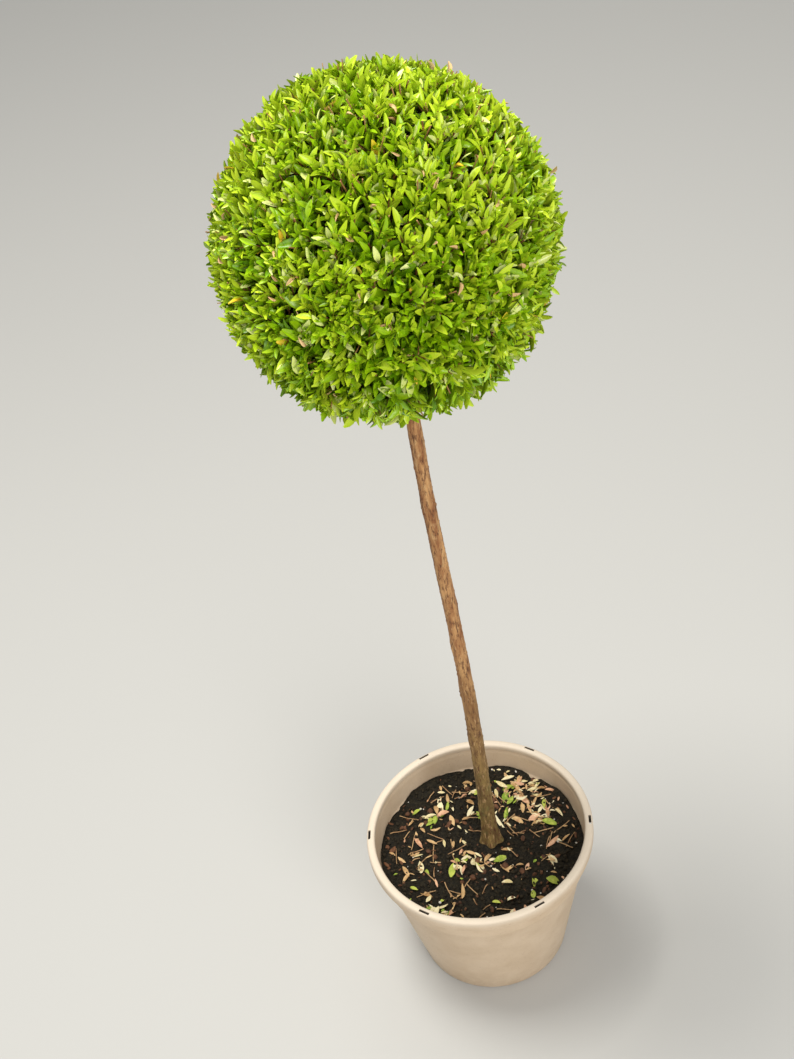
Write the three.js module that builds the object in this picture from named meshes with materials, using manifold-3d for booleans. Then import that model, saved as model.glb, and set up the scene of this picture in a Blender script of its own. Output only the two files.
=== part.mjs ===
// Potted standard topiary: a clipped ball of small-leaved evergreen foliage on a single bare stem,
// growing in a round plastic nursery pot. Millimetres, +Z up, the origin in the middle of the pot's
// flat underside, with -Y as the front.
import * as THREE from "three";
import { mergeVertices } from "three/addons/utils/BufferGeometryUtils.js";
import Module from "manifold-3d";

const wasm = await Module();
wasm.setup();

// Driving dimensions
const POT_RIM_DIAMETER = 165;
const POT_BASE_DIAMETER = 111;
const POT_HEIGHT = 125;
const SOIL_BELOW_RIM = 24;
const STEM_DIAMETER_AT_SOIL = 10.5;
const STEM_DIAMETER_AT_CROWN = 8;
const CROWN_WIDTH = 184;
const CROWN_HEIGHT = 194;
const CROWN_CENTRE_ABOVE_RIM = 489;
// Clear gap between two solids that touch on the real plant
const GAP = 0.3;

const SOIL_TOP = POT_HEIGHT - SOIL_BELOW_RIM;
const STEM_FOOT = new THREE.Vector3(6, 8, SOIL_TOP + GAP);
const CROWN_CENTRE = new THREE.Vector3(-4, 8, POT_HEIGHT + CROWN_CENTRE_ABOVE_RIM);

// A number from 0 to 1 that is the same on each run
function seededRandom(seed) {
  let state = seed >>> 0;
  return () => {
    state = (state + 0x6d2b79f5) >>> 0;
    let mixed = Math.imul(state ^ (state >>> 15), 1 | state);
    mixed = (mixed + Math.imul(mixed ^ (mixed >>> 7), 61 | mixed)) ^ mixed;
    return ((mixed ^ (mixed >>> 14)) >>> 0) / 4294967296;
  };
}

function between(random, low, high) {
  return low + (high - low) * random();
}

// Solids and meshes

function solidFrom(geometry) {
  const bare = new THREE.BufferGeometry().setAttribute("position", geometry.getAttribute("position"));
  bare.setIndex(geometry.index);
  const merged = mergeVertices(bare, 1e-3);
  return new wasm.Manifold(
    new wasm.Mesh({
      numProp: 3,
      vertProperties: merged.attributes.position.array,
      triVerts: new Uint32Array(merged.index.array),
    }),
  );
}

function geometryFrom(solid) {
  const mesh = solid.getMesh();
  const geometry = new THREE.BufferGeometry();
  geometry.setAttribute("position", new THREE.BufferAttribute(mesh.vertProperties, 3));
  geometry.setIndex(new THREE.BufferAttribute(mesh.triVerts, 1));
  return geometry;
}

// Joins many solids by pairs, so that each step joins two of about the same size
function joinAll(solids) {
  let level = solids;
  while (level.length > 1) {
    const next = [];
    for (let i = 0; i < level.length; i += 2) {
      next.push(i + 1 < level.length ? level[i].add(level[i + 1]) : level[i]);
    }
    level = next;
  }
  return level[0];
}

// The largest piece of a solid, without the loose scraps that cutting leaves
function largestPiece(solid) {
  return solid.decompose().reduce((best, piece) => (piece.volume() > best.volume() ? piece : best));
}

// A limb: a cylinder bent along a curve, whose radius follows radiusAt(share of length, angle)
function limbGeometry(curve, radiusAt, sides, steps) {
  const geometry = new THREE.CylinderGeometry(1, 1, 1, sides, steps);
  const frames = curve.computeFrenetFrames(steps);
  const position = geometry.getAttribute("position");
  for (let i = 0; i < position.count; i++) {
    const share = position.getY(i) + 0.5;
    const step = Math.round(share * steps);
    const across = position.getX(i);
    const along = position.getZ(i);
    const spread = Math.hypot(across, along);
    const radius = spread > 0 ? radiusAt(share, Math.atan2(along, across)) : 0;
    const place = curve
      .getPointAt(step / steps)
      .addScaledVector(frames.binormals[step], across * radius)
      .addScaledVector(frames.normals[step], along * radius);
    position.setXYZ(i, place.x, place.y, place.z);
  }
  return geometry;
}

// Pot: one moulding with a rolled lip, a collar below it, a step and a tapering wall

const POT = {
  wall: 1.8,
  floor: 2.6,
  footChamfer: 2,
  lipHeight: 9.5,
  lipWidth: 4.2,
  lipUndercut: 0.4,
  lipChamfer: 2,
  collarHeight: 15,
  collarTaper: 1.2,
  stepDepth: 2.6,
  innerRise: 1,
  segments: 48,
  slots: 6,
  slotLength: 8,
  slotWidth: 1.8,
  firstSlotAngle: THREE.MathUtils.degToRad(9.6),
  drainHoles: 8,
  drainRadius: 4.5,
  drainRing: 41,
};
const rimRadius = POT_RIM_DIAMETER / 2;
const baseRadius = POT_BASE_DIAMETER / 2;
const lipInner = rimRadius - POT.lipWidth;
const collarTop = POT_HEIGHT - POT.lipHeight;
const collarFoot = collarTop - POT.collarHeight;
const collarFootRadius = lipInner - POT.collarTaper;
const wallTopRadius = collarFootRadius - POT.stepDepth;

// Radius of the pot's inside at a height, below the step
function potInnerRadius(z) {
  const share = (z - POT.floor) / (collarFoot - POT.floor);
  return THREE.MathUtils.lerp(baseRadius, wallTopRadius, share) - POT.wall;
}

function potSolid() {
  const outline = new THREE.Path();
  outline.moveTo(0, 0);
  outline.lineTo(baseRadius - POT.footChamfer, 0);
  outline.lineTo(baseRadius, POT.footChamfer);
  outline.lineTo(wallTopRadius, collarFoot - POT.stepDepth);
  outline.lineTo(collarFootRadius, collarFoot);
  outline.lineTo(lipInner, collarTop);
  outline.lineTo(rimRadius - POT.lipUndercut, collarTop);
  outline.lineTo(rimRadius, collarTop + POT.lipChamfer);
  const roll = POT.lipWidth / 2 + POT.wall / 2;
  outline.lineTo(rimRadius, POT_HEIGHT - roll);
  outline.absellipse(rimRadius - roll, POT_HEIGHT - roll, roll, roll, 0, Math.PI, false);
  outline.lineTo(lipInner - POT.wall, collarTop + POT.innerRise);
  outline.lineTo(collarFootRadius - POT.wall, collarFoot + POT.innerRise);
  outline.lineTo(wallTopRadius - POT.wall, collarFoot - POT.stepDepth + POT.innerRise);
  outline.lineTo(potInnerRadius(POT.floor), POT.floor);
  outline.lineTo(0, POT.floor);
  const lathe = new THREE.LatheGeometry(outline.getPoints(3), POT.segments);
  lathe.rotateX(Math.PI / 2);
  let pot = solidFrom(lathe);

  for (let i = 0; i < POT.slots; i++) {
    const slot = new THREE.BoxGeometry(POT.slotWidth, POT.slotLength, 3 * POT.lipHeight);
    slot.translate(rimRadius - POT.lipWidth / 2, 0, POT_HEIGHT);
    slot.rotateZ(POT.firstSlotAngle + (i / POT.slots) * 2 * Math.PI);
    pot = pot.subtract(solidFrom(slot));
  }
  for (let i = 0; i < POT.drainHoles; i++) {
    const hole = new THREE.CylinderGeometry(POT.drainRadius, POT.drainRadius, 4 * POT.floor, 12);
    hole.rotateX(Math.PI / 2);
    hole.translate(POT.drainRing, 0, 0);
    hole.rotateZ((i / POT.drainHoles) * 2 * Math.PI);
    pot = pot.subtract(solidFrom(hole));
  }
  return pot;
}

// Potting mix: fills the pot to 24 mm below the rim, level round the stem and uneven elsewhere

const MIX = { segments: 36, rings: 8, bump: 2.2, levelRadius: 17, sideMargin: 0.6 };

// Height of the mix above its mean level at a place
function mixBump(x, y) {
  const fromStem = Math.hypot(x - STEM_FOOT.x, y - STEM_FOOT.y);
  const fade = THREE.MathUtils.smoothstep(fromStem, MIX.levelRadius, 2 * MIX.levelRadius);
  const waves = Math.sin(0.13 * x + 0.9) + Math.sin(0.17 * y - 0.5) + Math.sin(0.11 * (x - y) + 2.1);
  return (fade * MIX.bump * waves) / 3;
}

function mixSolid() {
  const floor = POT.floor + GAP;
  const lowRadius = potInnerRadius(floor) - MIX.sideMargin;
  const highRadius = potInnerRadius(collarFoot - POT.stepDepth) - MIX.sideMargin;
  const profile = [new THREE.Vector2(0, floor), new THREE.Vector2(lowRadius, floor)];
  profile.push(new THREE.Vector2(highRadius, collarFoot - POT.stepDepth));
  for (let ring = MIX.rings; ring >= 0; ring--) {
    profile.push(new THREE.Vector2((highRadius * ring) / MIX.rings, SOIL_TOP));
  }
  const lathe = new THREE.LatheGeometry(profile, MIX.segments);
  lathe.rotateX(Math.PI / 2);
  const position = lathe.getAttribute("position");
  for (let i = 0; i < position.count; i++) {
    if (position.getZ(i) === SOIL_TOP) {
      position.setZ(i, SOIL_TOP + mixBump(position.getX(i), position.getY(i)));
    }
  }
  return solidFrom(lathe);
}

// Crown: its clipped outline, and the open middle round the stem and boughs

const CROWN = {
  lump: 0.03,
  underCut: 0.05,
  coreShare: 0.77,
  neckRadius: 16,
  chamberRadius: 43,
  chamberHalfHeight: 46,
  chamberBelowCentre: 6,
};
const CHAMBER_CENTRE = CROWN_CENTRE.clone().setZ(CROWN_CENTRE.z - CROWN.chamberBelowCentre);

// Distance from the crown's centre to its clipped outline, in a direction of length 1
function crownReach(direction) {
  const level = Math.hypot(direction.x, direction.y) / (CROWN_WIDTH / 2);
  const upright = direction.z / (CROWN_HEIGHT / 2);
  const ball = 1 / Math.hypot(level, upright);
  const turn = Math.atan2(direction.y, direction.x);
  const waves =
    Math.sin(3 * turn + 1.1) * (1 - direction.z * direction.z) +
    Math.sin(5 * direction.z + 2 * turn) * (1 - direction.z * direction.z) +
    Math.sin(4 * direction.x - 3 * direction.y);
  const under = THREE.MathUtils.smoothstep(-direction.z, 0.55, 0.95);
  return ball * (1 + (CROWN.lump * waves) / 3 - CROWN.underCut * under);
}

// Main stem: bare from the mix to the crown, then on inside the crown to its tip

const STEM = {
  sides: 12,
  steps: 44,
  tipAboveCrownCentre: 12,
  tipRadius: 2,
  flare: 3.2,
  flareHeight: 11,
  rootRidges: 5,
  ridgeShare: 0.35,
  ridgeTurn: 0.7,
  wander: 2.4,
  swayX: { turn: 5.2, start: 0.4 },
  swayY: { turn: 4.1, start: 1.9 },
  knots: 9,
  knotSeed: 11,
  knotRise: 0.9,
  knotNarrowness: 2.4,
};
const stemTip = CROWN_CENTRE.clone().setZ(CROWN_CENTRE.z + STEM.tipAboveCrownCentre);

// The stem's middle line: upright, with the slow wander of a stem that was tied up as it grew
class StemLine extends THREE.Curve {
  getPoint(share, target = new THREE.Vector3()) {
    const sway = Math.sin(Math.PI * share) * STEM.wander;
    target.lerpVectors(STEM_FOOT, stemTip, share);
    target.x += sway * Math.sin(STEM.swayX.turn * share + STEM.swayX.start);
    target.y += sway * Math.sin(STEM.swayY.turn * share + STEM.swayY.start);
    return target;
  }
}
const stemLine = new StemLine();
const stemLength = stemLine.getLength();
const shareAtCrown = (CROWN_CENTRE.z - CROWN_HEIGHT / 2 - STEM_FOOT.z) / (stemTip.z - STEM_FOOT.z);

function stemRadius(share, angle, knots) {
  const soil = STEM_DIAMETER_AT_SOIL / 2;
  const crown = STEM_DIAMETER_AT_CROWN / 2;
  const bare = THREE.MathUtils.lerp(soil, crown, Math.min(share / shareAtCrown, 1));
  const inside = Math.max(0, (share - shareAtCrown) / (1 - shareAtCrown));
  const taper = THREE.MathUtils.lerp(bare, STEM.tipRadius, inside);
  const ridge = 1 + STEM.ridgeShare * Math.cos(STEM.rootRidges * angle + STEM.ridgeTurn);
  const flare = STEM.flare * Math.exp((-share * stemLength) / STEM.flareHeight) * ridge;
  const scars = knots.reduce((sum, knot) => {
    const up = ((share - knot.share) * stemLength) / knot.height;
    const round = Math.sin((angle - knot.angle) / 2) * STEM.knotNarrowness;
    return sum + STEM.knotRise * Math.exp(-up * up - round * round);
  }, 0);
  return taper + flare + scars;
}

// Scars of the side shoots that were cut off as the stem was trained up
function stemKnots() {
  const random = seededRandom(STEM.knotSeed);
  return Array.from({ length: STEM.knots }, (_, i) => ({
    share: shareAtCrown * ((i + between(random, 0.6, 1.1)) / (STEM.knots + 0.6)),
    angle: between(random, 0, 2 * Math.PI),
    height: between(random, 5, 8),
  }));
}

function stemSolid(extra) {
  const knots = stemKnots();
  const radiusAt = (share, angle) => stemRadius(share, angle, knots) + extra;
  return solidFrom(limbGeometry(stemLine, radiusAt, STEM.sides, STEM.steps));
}

// Main boughs: opposite pairs, each pair turned a quarter from the last, ending as they enter the mass

const BOUGH = {
  pairs: 3,
  firstBelowCentre: 48,
  pairSpacing: 19,
  climb: THREE.MathUtils.degToRad(28),
  firstTurn: 0.35,
  sag: 4,
  baseRadius: 2.4,
  tipRadius: 1.3,
  sides: 7,
  steps: 6,
  entry: 2.5,
};

// Distance from a place inside the crown's open middle to its wall, in a direction of length 1
function distanceToWall(place, direction) {
  const stretch = new THREE.Vector3(CROWN.chamberRadius, CROWN.chamberRadius, CROWN.chamberHalfHeight);
  const from = place.clone().sub(CHAMBER_CENTRE).divide(stretch);
  const step = direction.clone().divide(stretch);
  const half = from.dot(step);
  const square = step.lengthSq();
  return (-half + Math.sqrt(half * half - square * (from.lengthSq() - 1))) / square;
}

// Middle line of a bough, from the stem's middle to just inside the mass
function boughLine(pair, side) {
  const height = CROWN_CENTRE.z - BOUGH.firstBelowCentre + pair * BOUGH.pairSpacing;
  const start = stemLine.getPoint((height - STEM_FOOT.z) / (stemTip.z - STEM_FOOT.z));
  const turn = pair * (Math.PI / 2) + side * Math.PI + BOUGH.firstTurn;
  const level = Math.cos(BOUGH.climb);
  const direction = new THREE.Vector3(Math.cos(turn) * level, Math.sin(turn) * level, Math.sin(BOUGH.climb));
  const end = start.clone().addScaledVector(direction, distanceToWall(start, direction) + BOUGH.entry);
  const middle = start.clone().lerp(end, 0.5);
  middle.z -= BOUGH.sag;
  return new THREE.QuadraticBezierCurve3(start, middle, end);
}

function boughSolid(pair, side, extra) {
  const radiusAt = (share) => THREE.MathUtils.lerp(BOUGH.baseRadius, BOUGH.tipRadius, share) + extra;
  return solidFrom(limbGeometry(boughLine(pair, side), radiusAt, BOUGH.sides, BOUGH.steps));
}

// Crown mass: a dense core under sprays of twigs with opposite pairs of leaves

const SPRAY = {
  count: 68,
  seed: 7,
  clearOfStem: 15,
  twigRadius: 1.5,
  twigTipRadius: 0.9,
  twigLength: 20,
  sideLength: 12,
  sideLean: THREE.MathUtils.degToRad(54),
  forkEvery: 6,
  rootDepth: 3,
  rootOffset: 3,
  leafLength: 28,
  leafLengthRange: [0.88, 1.12],
  shortestLeaf: 13,
  leafWidth: 11,
  leafThickness: 1.4,
  leafWidest: 0.44,
  leafSpread: THREE.MathUtils.degToRad(52),
  leafSpreadRange: [0.72, 1.28],
  tipRiseRange: [0.7, 1.05],
  lowPairs: 2,
  attempts: 6,
  retrySwing: 1.6,
};

function coreSolid() {
  const core = new THREE.IcosahedronGeometry(1, 4);
  const position = core.getAttribute("position");
  const direction = new THREE.Vector3();
  for (let i = 0; i < position.count; i++) {
    direction.fromBufferAttribute(position, i).normalize();
    const reach = crownReach(direction) * CROWN.coreShare;
    const place = direction.clone().multiplyScalar(reach).add(CROWN_CENTRE);
    position.setXYZ(i, place.x, place.y, place.z);
  }
  return solidFrom(core);
}

// The open middle of the crown, where the boughs part, and its neck round the stem
function hollowSolid() {
  const outline = new THREE.Path();
  const bottom = CROWN_CENTRE.z - CROWN_HEIGHT / 2 - 1;
  outline.moveTo(0, bottom);
  outline.lineTo(CROWN.neckRadius, bottom);
  const neckAngle = Math.acos(CROWN.neckRadius / CROWN.chamberRadius);
  outline.absellipse(
    0,
    CHAMBER_CENTRE.z,
    CROWN.chamberRadius,
    CROWN.chamberHalfHeight,
    -neckAngle,
    Math.PI / 2,
    false,
  );
  const hollow = new THREE.LatheGeometry(outline.getPoints(4), 16);
  hollow.rotateX(Math.PI / 2);
  return solidFrom(hollow.translate(CROWN_CENTRE.x, CROWN_CENTRE.y, 0));
}

// A straight three-sided twig
function twigSolid(start, end, startRadius, endRadius) {
  const line = new THREE.LineCurve3(start, end);
  return solidFrom(limbGeometry(line, (share) => THREE.MathUtils.lerp(startRadius, endRadius, share), 3, 1));
}

// A thin eight-faced leaf from its root along a direction, with its upper face towards facing
function leafSolid(root, along, facing, length) {
  const leaf = new THREE.OctahedronGeometry(1);
  const position = leaf.getAttribute("position");
  const width = (SPRAY.leafWidth * length) / SPRAY.leafLength;
  for (let i = 0; i < position.count; i++) {
    const share = position.getX(i) === 0 ? SPRAY.leafWidest : (position.getX(i) + 1) / 2;
    const across = (position.getY(i) * width) / 2;
    position.setXYZ(i, share * length, across, (position.getZ(i) * SPRAY.leafThickness) / 2);
  }
  const side = new THREE.Vector3().crossVectors(facing, along).normalize();
  const upper = new THREE.Vector3().crossVectors(along, side);
  leaf.applyMatrix4(new THREE.Matrix4().makeBasis(along, side, upper).setPosition(root));
  return solidFrom(leaf);
}

// How far a place lies inside the crown's clipped outline
function depthInCrown(place) {
  const fromCentre = place.clone().sub(CROWN_CENTRE);
  return crownReach(fromCentre.clone().normalize()) - fromCentre.length();
}

// True where a leaf would touch the bare stem below the crown
function touchesStem(root, tip) {
  const nearest = Math.min(
    Math.hypot(root.x - CROWN_CENTRE.x, root.y - CROWN_CENTRE.y),
    Math.hypot(tip.x - CROWN_CENTRE.x, tip.y - CROWN_CENTRE.y),
  );
  return tip.z < CROWN_CENTRE.z && nearest < SPRAY.clearOfStem;
}

// True where a leaf would cross one that is already placed
function crossesLeaf(leaf, middle, placedLeaves) {
  const near = placedLeaves.filter((other) => other.middle.distanceTo(middle) < SPRAY.leafLength);
  return near.some((other) => !other.solid.intersect(leaf).isEmpty());
}

// One opposite pair of leaves at a place on a twig, each cut back to the crown's outline. A leaf that
// would touch the stem or cross another is tried again at other angles, and then left out.
function leafPair(place, twigDirection, turn, rootOffset, random, placedLeaves) {
  const helper = Math.abs(twigDirection.z) < 0.9 ? new THREE.Vector3(0, 0, 1) : new THREE.Vector3(1, 0, 0);
  const across = new THREE.Vector3().crossVectors(twigDirection, helper).normalize();
  const pair = [];
  for (const side of [0, Math.PI]) {
    for (let attempt = 0; attempt < SPRAY.attempts; attempt++) {
      const swing = attempt * SPRAY.retrySwing * (random() - 0.5);
      const outward = across.clone().applyAxisAngle(twigDirection, turn + side + swing);
      const root = place.clone().addScaledVector(outward, rootOffset);
      const spread = SPRAY.leafSpread * between(random, ...SPRAY.leafSpreadRange);
      const along = twigDirection.clone().multiplyScalar(Math.cos(spread));
      along.addScaledVector(outward, Math.sin(spread)).normalize();
      let length = SPRAY.leafLength * between(random, ...SPRAY.leafLengthRange);
      while (length > SPRAY.shortestLeaf && depthInCrown(root.clone().addScaledVector(along, length)) < 0) {
        length -= 1;
      }
      const tip = root.clone().addScaledVector(along, length);
      if (length <= SPRAY.shortestLeaf || touchesStem(root, tip)) continue;
      const solid = leafSolid(root, along, twigDirection, length);
      const middle = root.clone().lerp(tip, 0.5);
      if (crossesLeaf(solid, middle, placedLeaves)) continue;
      pair.push({ solid, middle });
      break;
    }
  }
  placedLeaves.push(...pair);
}

// One spray: a twig out of the core with a pair of leaves at its tip and two lower pairs that come
// out of the core beside it. Some sprays fork.
function spraySolids(direction, forks, random, placedLeaves) {
  const level = SPRAY.leafLength * Math.sin(SPRAY.leafSpread);
  const rise = SPRAY.leafLength * Math.cos(SPRAY.leafSpread);
  const reach = crownReach(direction);
  const leafRise = rise * between(random, ...SPRAY.tipRiseRange);
  const tipDistance = Math.sqrt(reach * reach - level * level) - leafRise;
  const tip = CROWN_CENTRE.clone().addScaledVector(direction, tipDistance);
  const start = CROWN_CENTRE.clone().addScaledVector(direction, tipDistance - SPRAY.twigLength);
  const turn = between(random, 0, Math.PI);
  const twigs = [twigSolid(start, tip, SPRAY.twigRadius, SPRAY.twigTipRadius)];
  const tipRoot = tip.clone().addScaledVector(direction, -SPRAY.twigTipRadius);
  leafPair(tipRoot, direction, turn, 0, random, placedLeaves);
  for (let pair = 1; pair <= SPRAY.lowPairs; pair++) {
    const inCore = Math.min(tipDistance, reach * CROWN.coreShare) - SPRAY.rootDepth * pair;
    const lowRoot = CROWN_CENTRE.clone().addScaledVector(direction, inCore);
    leafPair(lowRoot, direction, turn + (pair * Math.PI) / 2, SPRAY.rootOffset * pair, random, placedLeaves);
  }
  if (!forks) return twigs;

  const across = new THREE.Vector3().crossVectors(direction, new THREE.Vector3(0.3, 0.5, 0.8)).normalize();
  across.applyAxisAngle(direction, between(random, 0, 2 * Math.PI));
  const sideDirection = direction.clone().multiplyScalar(Math.cos(SPRAY.sideLean));
  sideDirection.addScaledVector(across, Math.sin(SPRAY.sideLean)).normalize();
  const fork = tip.clone().addScaledVector(direction, -SPRAY.sideLength);
  const sideTip = fork.clone().addScaledVector(sideDirection, SPRAY.sideLength);
  twigs.push(twigSolid(fork, sideTip, SPRAY.twigTipRadius * 1.1, SPRAY.twigTipRadius * 0.8));
  const sideRoot = sideTip.clone().addScaledVector(sideDirection, -SPRAY.twigTipRadius);
  leafPair(sideRoot, sideDirection, between(random, 0, Math.PI), 0, random, placedLeaves);
  return twigs;
}

// Directions spread evenly over a ball by the golden angle
function evenDirections(count) {
  const golden = Math.PI * (3 - Math.sqrt(5));
  return Array.from({ length: count }, (_, i) => {
    const z = 1 - (2 * (i + 0.5)) / count;
    const level = Math.sqrt(1 - z * z);
    return new THREE.Vector3(level * Math.cos(i * golden), level * Math.sin(i * golden), z);
  });
}

function crownSolid() {
  const random = seededRandom(SPRAY.seed);
  const placedLeaves = [];
  const directions = evenDirections(SPRAY.count);
  const twigs = directions.flatMap((direction, i) => {
    return spraySolids(direction, i % SPRAY.forkEvery === 0, random, placedLeaves);
  });
  const leaves = placedLeaves.map((leaf) => leaf.solid);
  let crown = joinAll([coreSolid(), ...twigs, ...leaves]).subtract(hollowSolid()).subtract(stemSolid(GAP));
  for (let pair = 0; pair < BOUGH.pairs; pair++) {
    for (const side of [0, 1]) crown = crown.subtract(boughSolid(pair, side, GAP));
  }
  return largestPiece(crown);
}

// Colours and finish

function plainMaterial(color, roughness) {
  return new THREE.MeshStandardMaterial({ color, roughness, metalness: 0 });
}
const potPlastic = plainMaterial(0xc9a888, 0.6);
const peatMix = plainMaterial(0x2a211b, 0.95);
const bark = plainMaterial(0x8a6243, 0.85);
const foliage = plainMaterial(0x5f9a1c, 0.45);

function namedMesh(name, solid, material) {
  const mesh = new THREE.Mesh(geometryFrom(solid), material);
  mesh.name = name;
  return mesh;
}

// The plant in its pot

const plant = new THREE.Group();
plant.add(namedMesh("pot", potSolid(), potPlastic));
plant.add(namedMesh("potting_mix", mixSolid(), peatMix));
plant.add(namedMesh("main_stem", stemSolid(0), bark));
for (let pair = 0; pair < BOUGH.pairs; pair++) {
  for (const side of [0, 1]) {
    const bough = largestPiece(boughSolid(pair, side, 0).subtract(stemSolid(GAP)));
    plant.add(namedMesh(`bough_${2 * pair + side + 1}`, bough, bark));
  }
}
plant.add(namedMesh("clipped_crown", crownSolid(), foliage));

export default plant;
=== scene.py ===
import math

import bmesh
import bpy
from mathutils import Matrix, Vector, noise


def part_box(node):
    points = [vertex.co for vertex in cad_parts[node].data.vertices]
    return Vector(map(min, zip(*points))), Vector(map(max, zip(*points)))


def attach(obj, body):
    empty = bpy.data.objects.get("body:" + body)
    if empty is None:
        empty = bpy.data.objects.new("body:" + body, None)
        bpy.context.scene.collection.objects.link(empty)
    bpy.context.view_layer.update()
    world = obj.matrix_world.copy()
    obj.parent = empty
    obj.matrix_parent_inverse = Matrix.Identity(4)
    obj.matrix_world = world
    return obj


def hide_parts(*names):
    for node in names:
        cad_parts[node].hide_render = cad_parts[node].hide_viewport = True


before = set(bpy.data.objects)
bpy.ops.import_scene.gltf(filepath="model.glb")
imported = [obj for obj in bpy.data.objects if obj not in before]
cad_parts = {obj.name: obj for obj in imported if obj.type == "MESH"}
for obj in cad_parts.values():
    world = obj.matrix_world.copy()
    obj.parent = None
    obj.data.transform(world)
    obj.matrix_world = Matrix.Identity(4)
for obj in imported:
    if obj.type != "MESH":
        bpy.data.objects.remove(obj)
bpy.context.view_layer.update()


# Nursery pot
# A thin round pot moulded in one piece from sand-coloured plastic: a rolled lip with short slots
# for hangers, a collar under it, a step, a tapering wall, and a flat floor with drain holes.

POT_RIM_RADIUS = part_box("pot")[1].x
POT_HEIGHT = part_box("pot")[1].z
POT_BASE_RADIUS = 0.0555
POT_WALL = 0.0018
POT_FLOOR = 0.0026
LIP_HEIGHT = 0.0095
LIP_WIDTH = 0.0042
LIP_ROUNDNESS = 0.7
LIP_STEPS = 18
COLLAR_HEIGHT = 0.015
COLLAR_TAPER = 0.0012
STEP_DEPTH = 0.0026
SLOT_COUNT = 6
SLOT_WIDTH = 0.0018
SLOT_LENGTH = 0.008
FIRST_SLOT_ANGLE = math.radians(9.6)
DRAIN_HOLES = 8
DRAIN_RADIUS = 0.0045
DRAIN_RING = 0.041
POT_SEGMENTS = 160

lip_inner = POT_RIM_RADIUS - LIP_WIDTH
collar_foot_radius = lip_inner - COLLAR_TAPER
wall_top_radius = collar_foot_radius - STEP_DEPTH
collar_top = POT_HEIGHT - LIP_HEIGHT
collar_foot = collar_top - COLLAR_HEIGHT
slot_middle = POT_RIM_RADIUS - LIP_WIDTH / 2


def srgb(red, green, blue):
    """A colour given as it looks on a screen, 0 to 255, as the linear colour that shaders take."""
    linear = []
    for value in (red, green, blue):
        share = value / 255
        linear.append(share / 12.92 if share <= 0.04045 else ((share + 0.055) / 1.055) ** 2.4)
    return (*linear, 1.0)


def between(low, high, share):
    return low + (high - low) * share


def smooth_step(value, low, high):
    """From 0 to 1, slowly at both ends, as a value goes from low to high."""
    share = min(max((value - low) / (high - low), 0.0), 1.0)
    return share * share * (3 - 2 * share)


def set_inputs(tree, node, inputs):
    """Gives a node's inputs their plain values, or links them to outputs of other nodes."""
    for name, value in inputs.items():
        if isinstance(value, bpy.types.NodeSocket):
            tree.links.new(value, node.inputs[name])
        else:
            node.inputs[name].default_value = value


def add_node(tree, kind, inputs=None, **settings):
    """Adds a node with its settings and its inputs."""
    node = tree.nodes.new(kind)
    for name, value in settings.items():
        setattr(node, name, value)
    set_inputs(tree, node, inputs or {})
    return node


def output_of(tree, kind, inputs=None, **settings):
    """Adds a node, and gives its first output."""
    return add_node(tree, kind, inputs, **settings).outputs[0]


def mixed(tree, share, first, second):
    """The colour that lies between two colours by a share."""
    inputs = {0: share, 6: first, 7: second}
    return add_node(tree, "ShaderNodeMix", inputs, data_type="RGBA").outputs[2]


def mask(tree, value, low, high):
    """A value from 0 to 1 as another value goes from low to high."""
    inputs = {"Value": value, "From Min": low, "From Max": high}
    return add_node(tree, "ShaderNodeMapRange", inputs).outputs["Result"]


def worked_out(tree, operation, *values):
    """The result of one step of reckoning with values or outputs."""
    return output_of(tree, "ShaderNodeMath", dict(enumerate(values)), operation=operation)


def times(tree, first, second):
    return worked_out(tree, "MULTIPLY", first, second)


def object_place(tree):
    return add_node(tree, "ShaderNodeTexCoord").outputs["Object"]


def height_of(tree, place):
    return add_node(tree, "ShaderNodeSeparateXYZ", {0: place}).outputs["Z"]


def new_material(name):
    """A material with its node tree and its shader."""
    material = bpy.data.materials.new(name)
    material.use_nodes = True
    return material, material.node_tree, material.node_tree.nodes["Principled BSDF"]


def socket_kind(value):
    """The kind of socket that holds a number, a place or a colour."""
    if isinstance(value, tuple):
        return {3: "Vector", 4: "Color"}[len(value)]
    return "Int" if isinstance(value, int) else "Float"


def start_group(name, tree_kind, inputs, outputs):
    """Starts a node group. An input is given by its value, or like an output by its kind."""
    group = bpy.data.node_groups.new(name, tree_kind)
    for label, value in inputs.items():
        kind = value if isinstance(value, str) else socket_kind(value)
        socket = group.interface.new_socket(label, in_out="INPUT", socket_type="NodeSocket" + kind)
        if kind != value:
            socket.default_value = value
    for label, kind in outputs.items():
        group.interface.new_socket(label, in_out="OUTPUT", socket_type="NodeSocket" + kind)
    return group, add_node(group, "NodeGroupInput").outputs, add_node(group, "NodeGroupOutput")


def shared_effect(name, inputs, outputs):
    """Starts a shader node group, for an effect that materials share."""
    return start_group(name, "ShaderNodeTree", inputs, outputs)


noise_sizes = ("Scale", "Detail", "Roughness")
noise_inputs = {"Place": (0.0, 0.0, 0.0), "Scale": 100.0, "Detail": 4.0, "Roughness": 0.6}


def noise_by(group, given):
    """Noise in an effect, by its own inputs, with the scale in waves to the metre."""
    inputs = {label: given[label] for label in noise_sizes}
    inputs["Vector"] = given["Place"]
    return add_node(group, "ShaderNodeTexNoise", inputs).outputs["Fac"]


def mottle_effect():
    """Clouds, flecks or grains of one colour over another, where noise lies between two values."""
    colors = {"Under": (0.5, 0.5, 0.5, 1.0), "Over": (0.5, 0.5, 0.5, 1.0)}
    inputs = {**noise_inputs, "From": 0.4, "To": 0.6, "Amount": 1.0, **colors}
    group, given, result = shared_effect("Mottle", inputs, {"Color": "Color", "Share": "Float"})
    share = mask(group, noise_by(group, given), given["From"], given["To"])
    color = mixed(group, times(group, share, given["Amount"]), given["Under"], given["Over"])
    set_inputs(group, result, {"Share": share, "Color": color})
    return group


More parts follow.
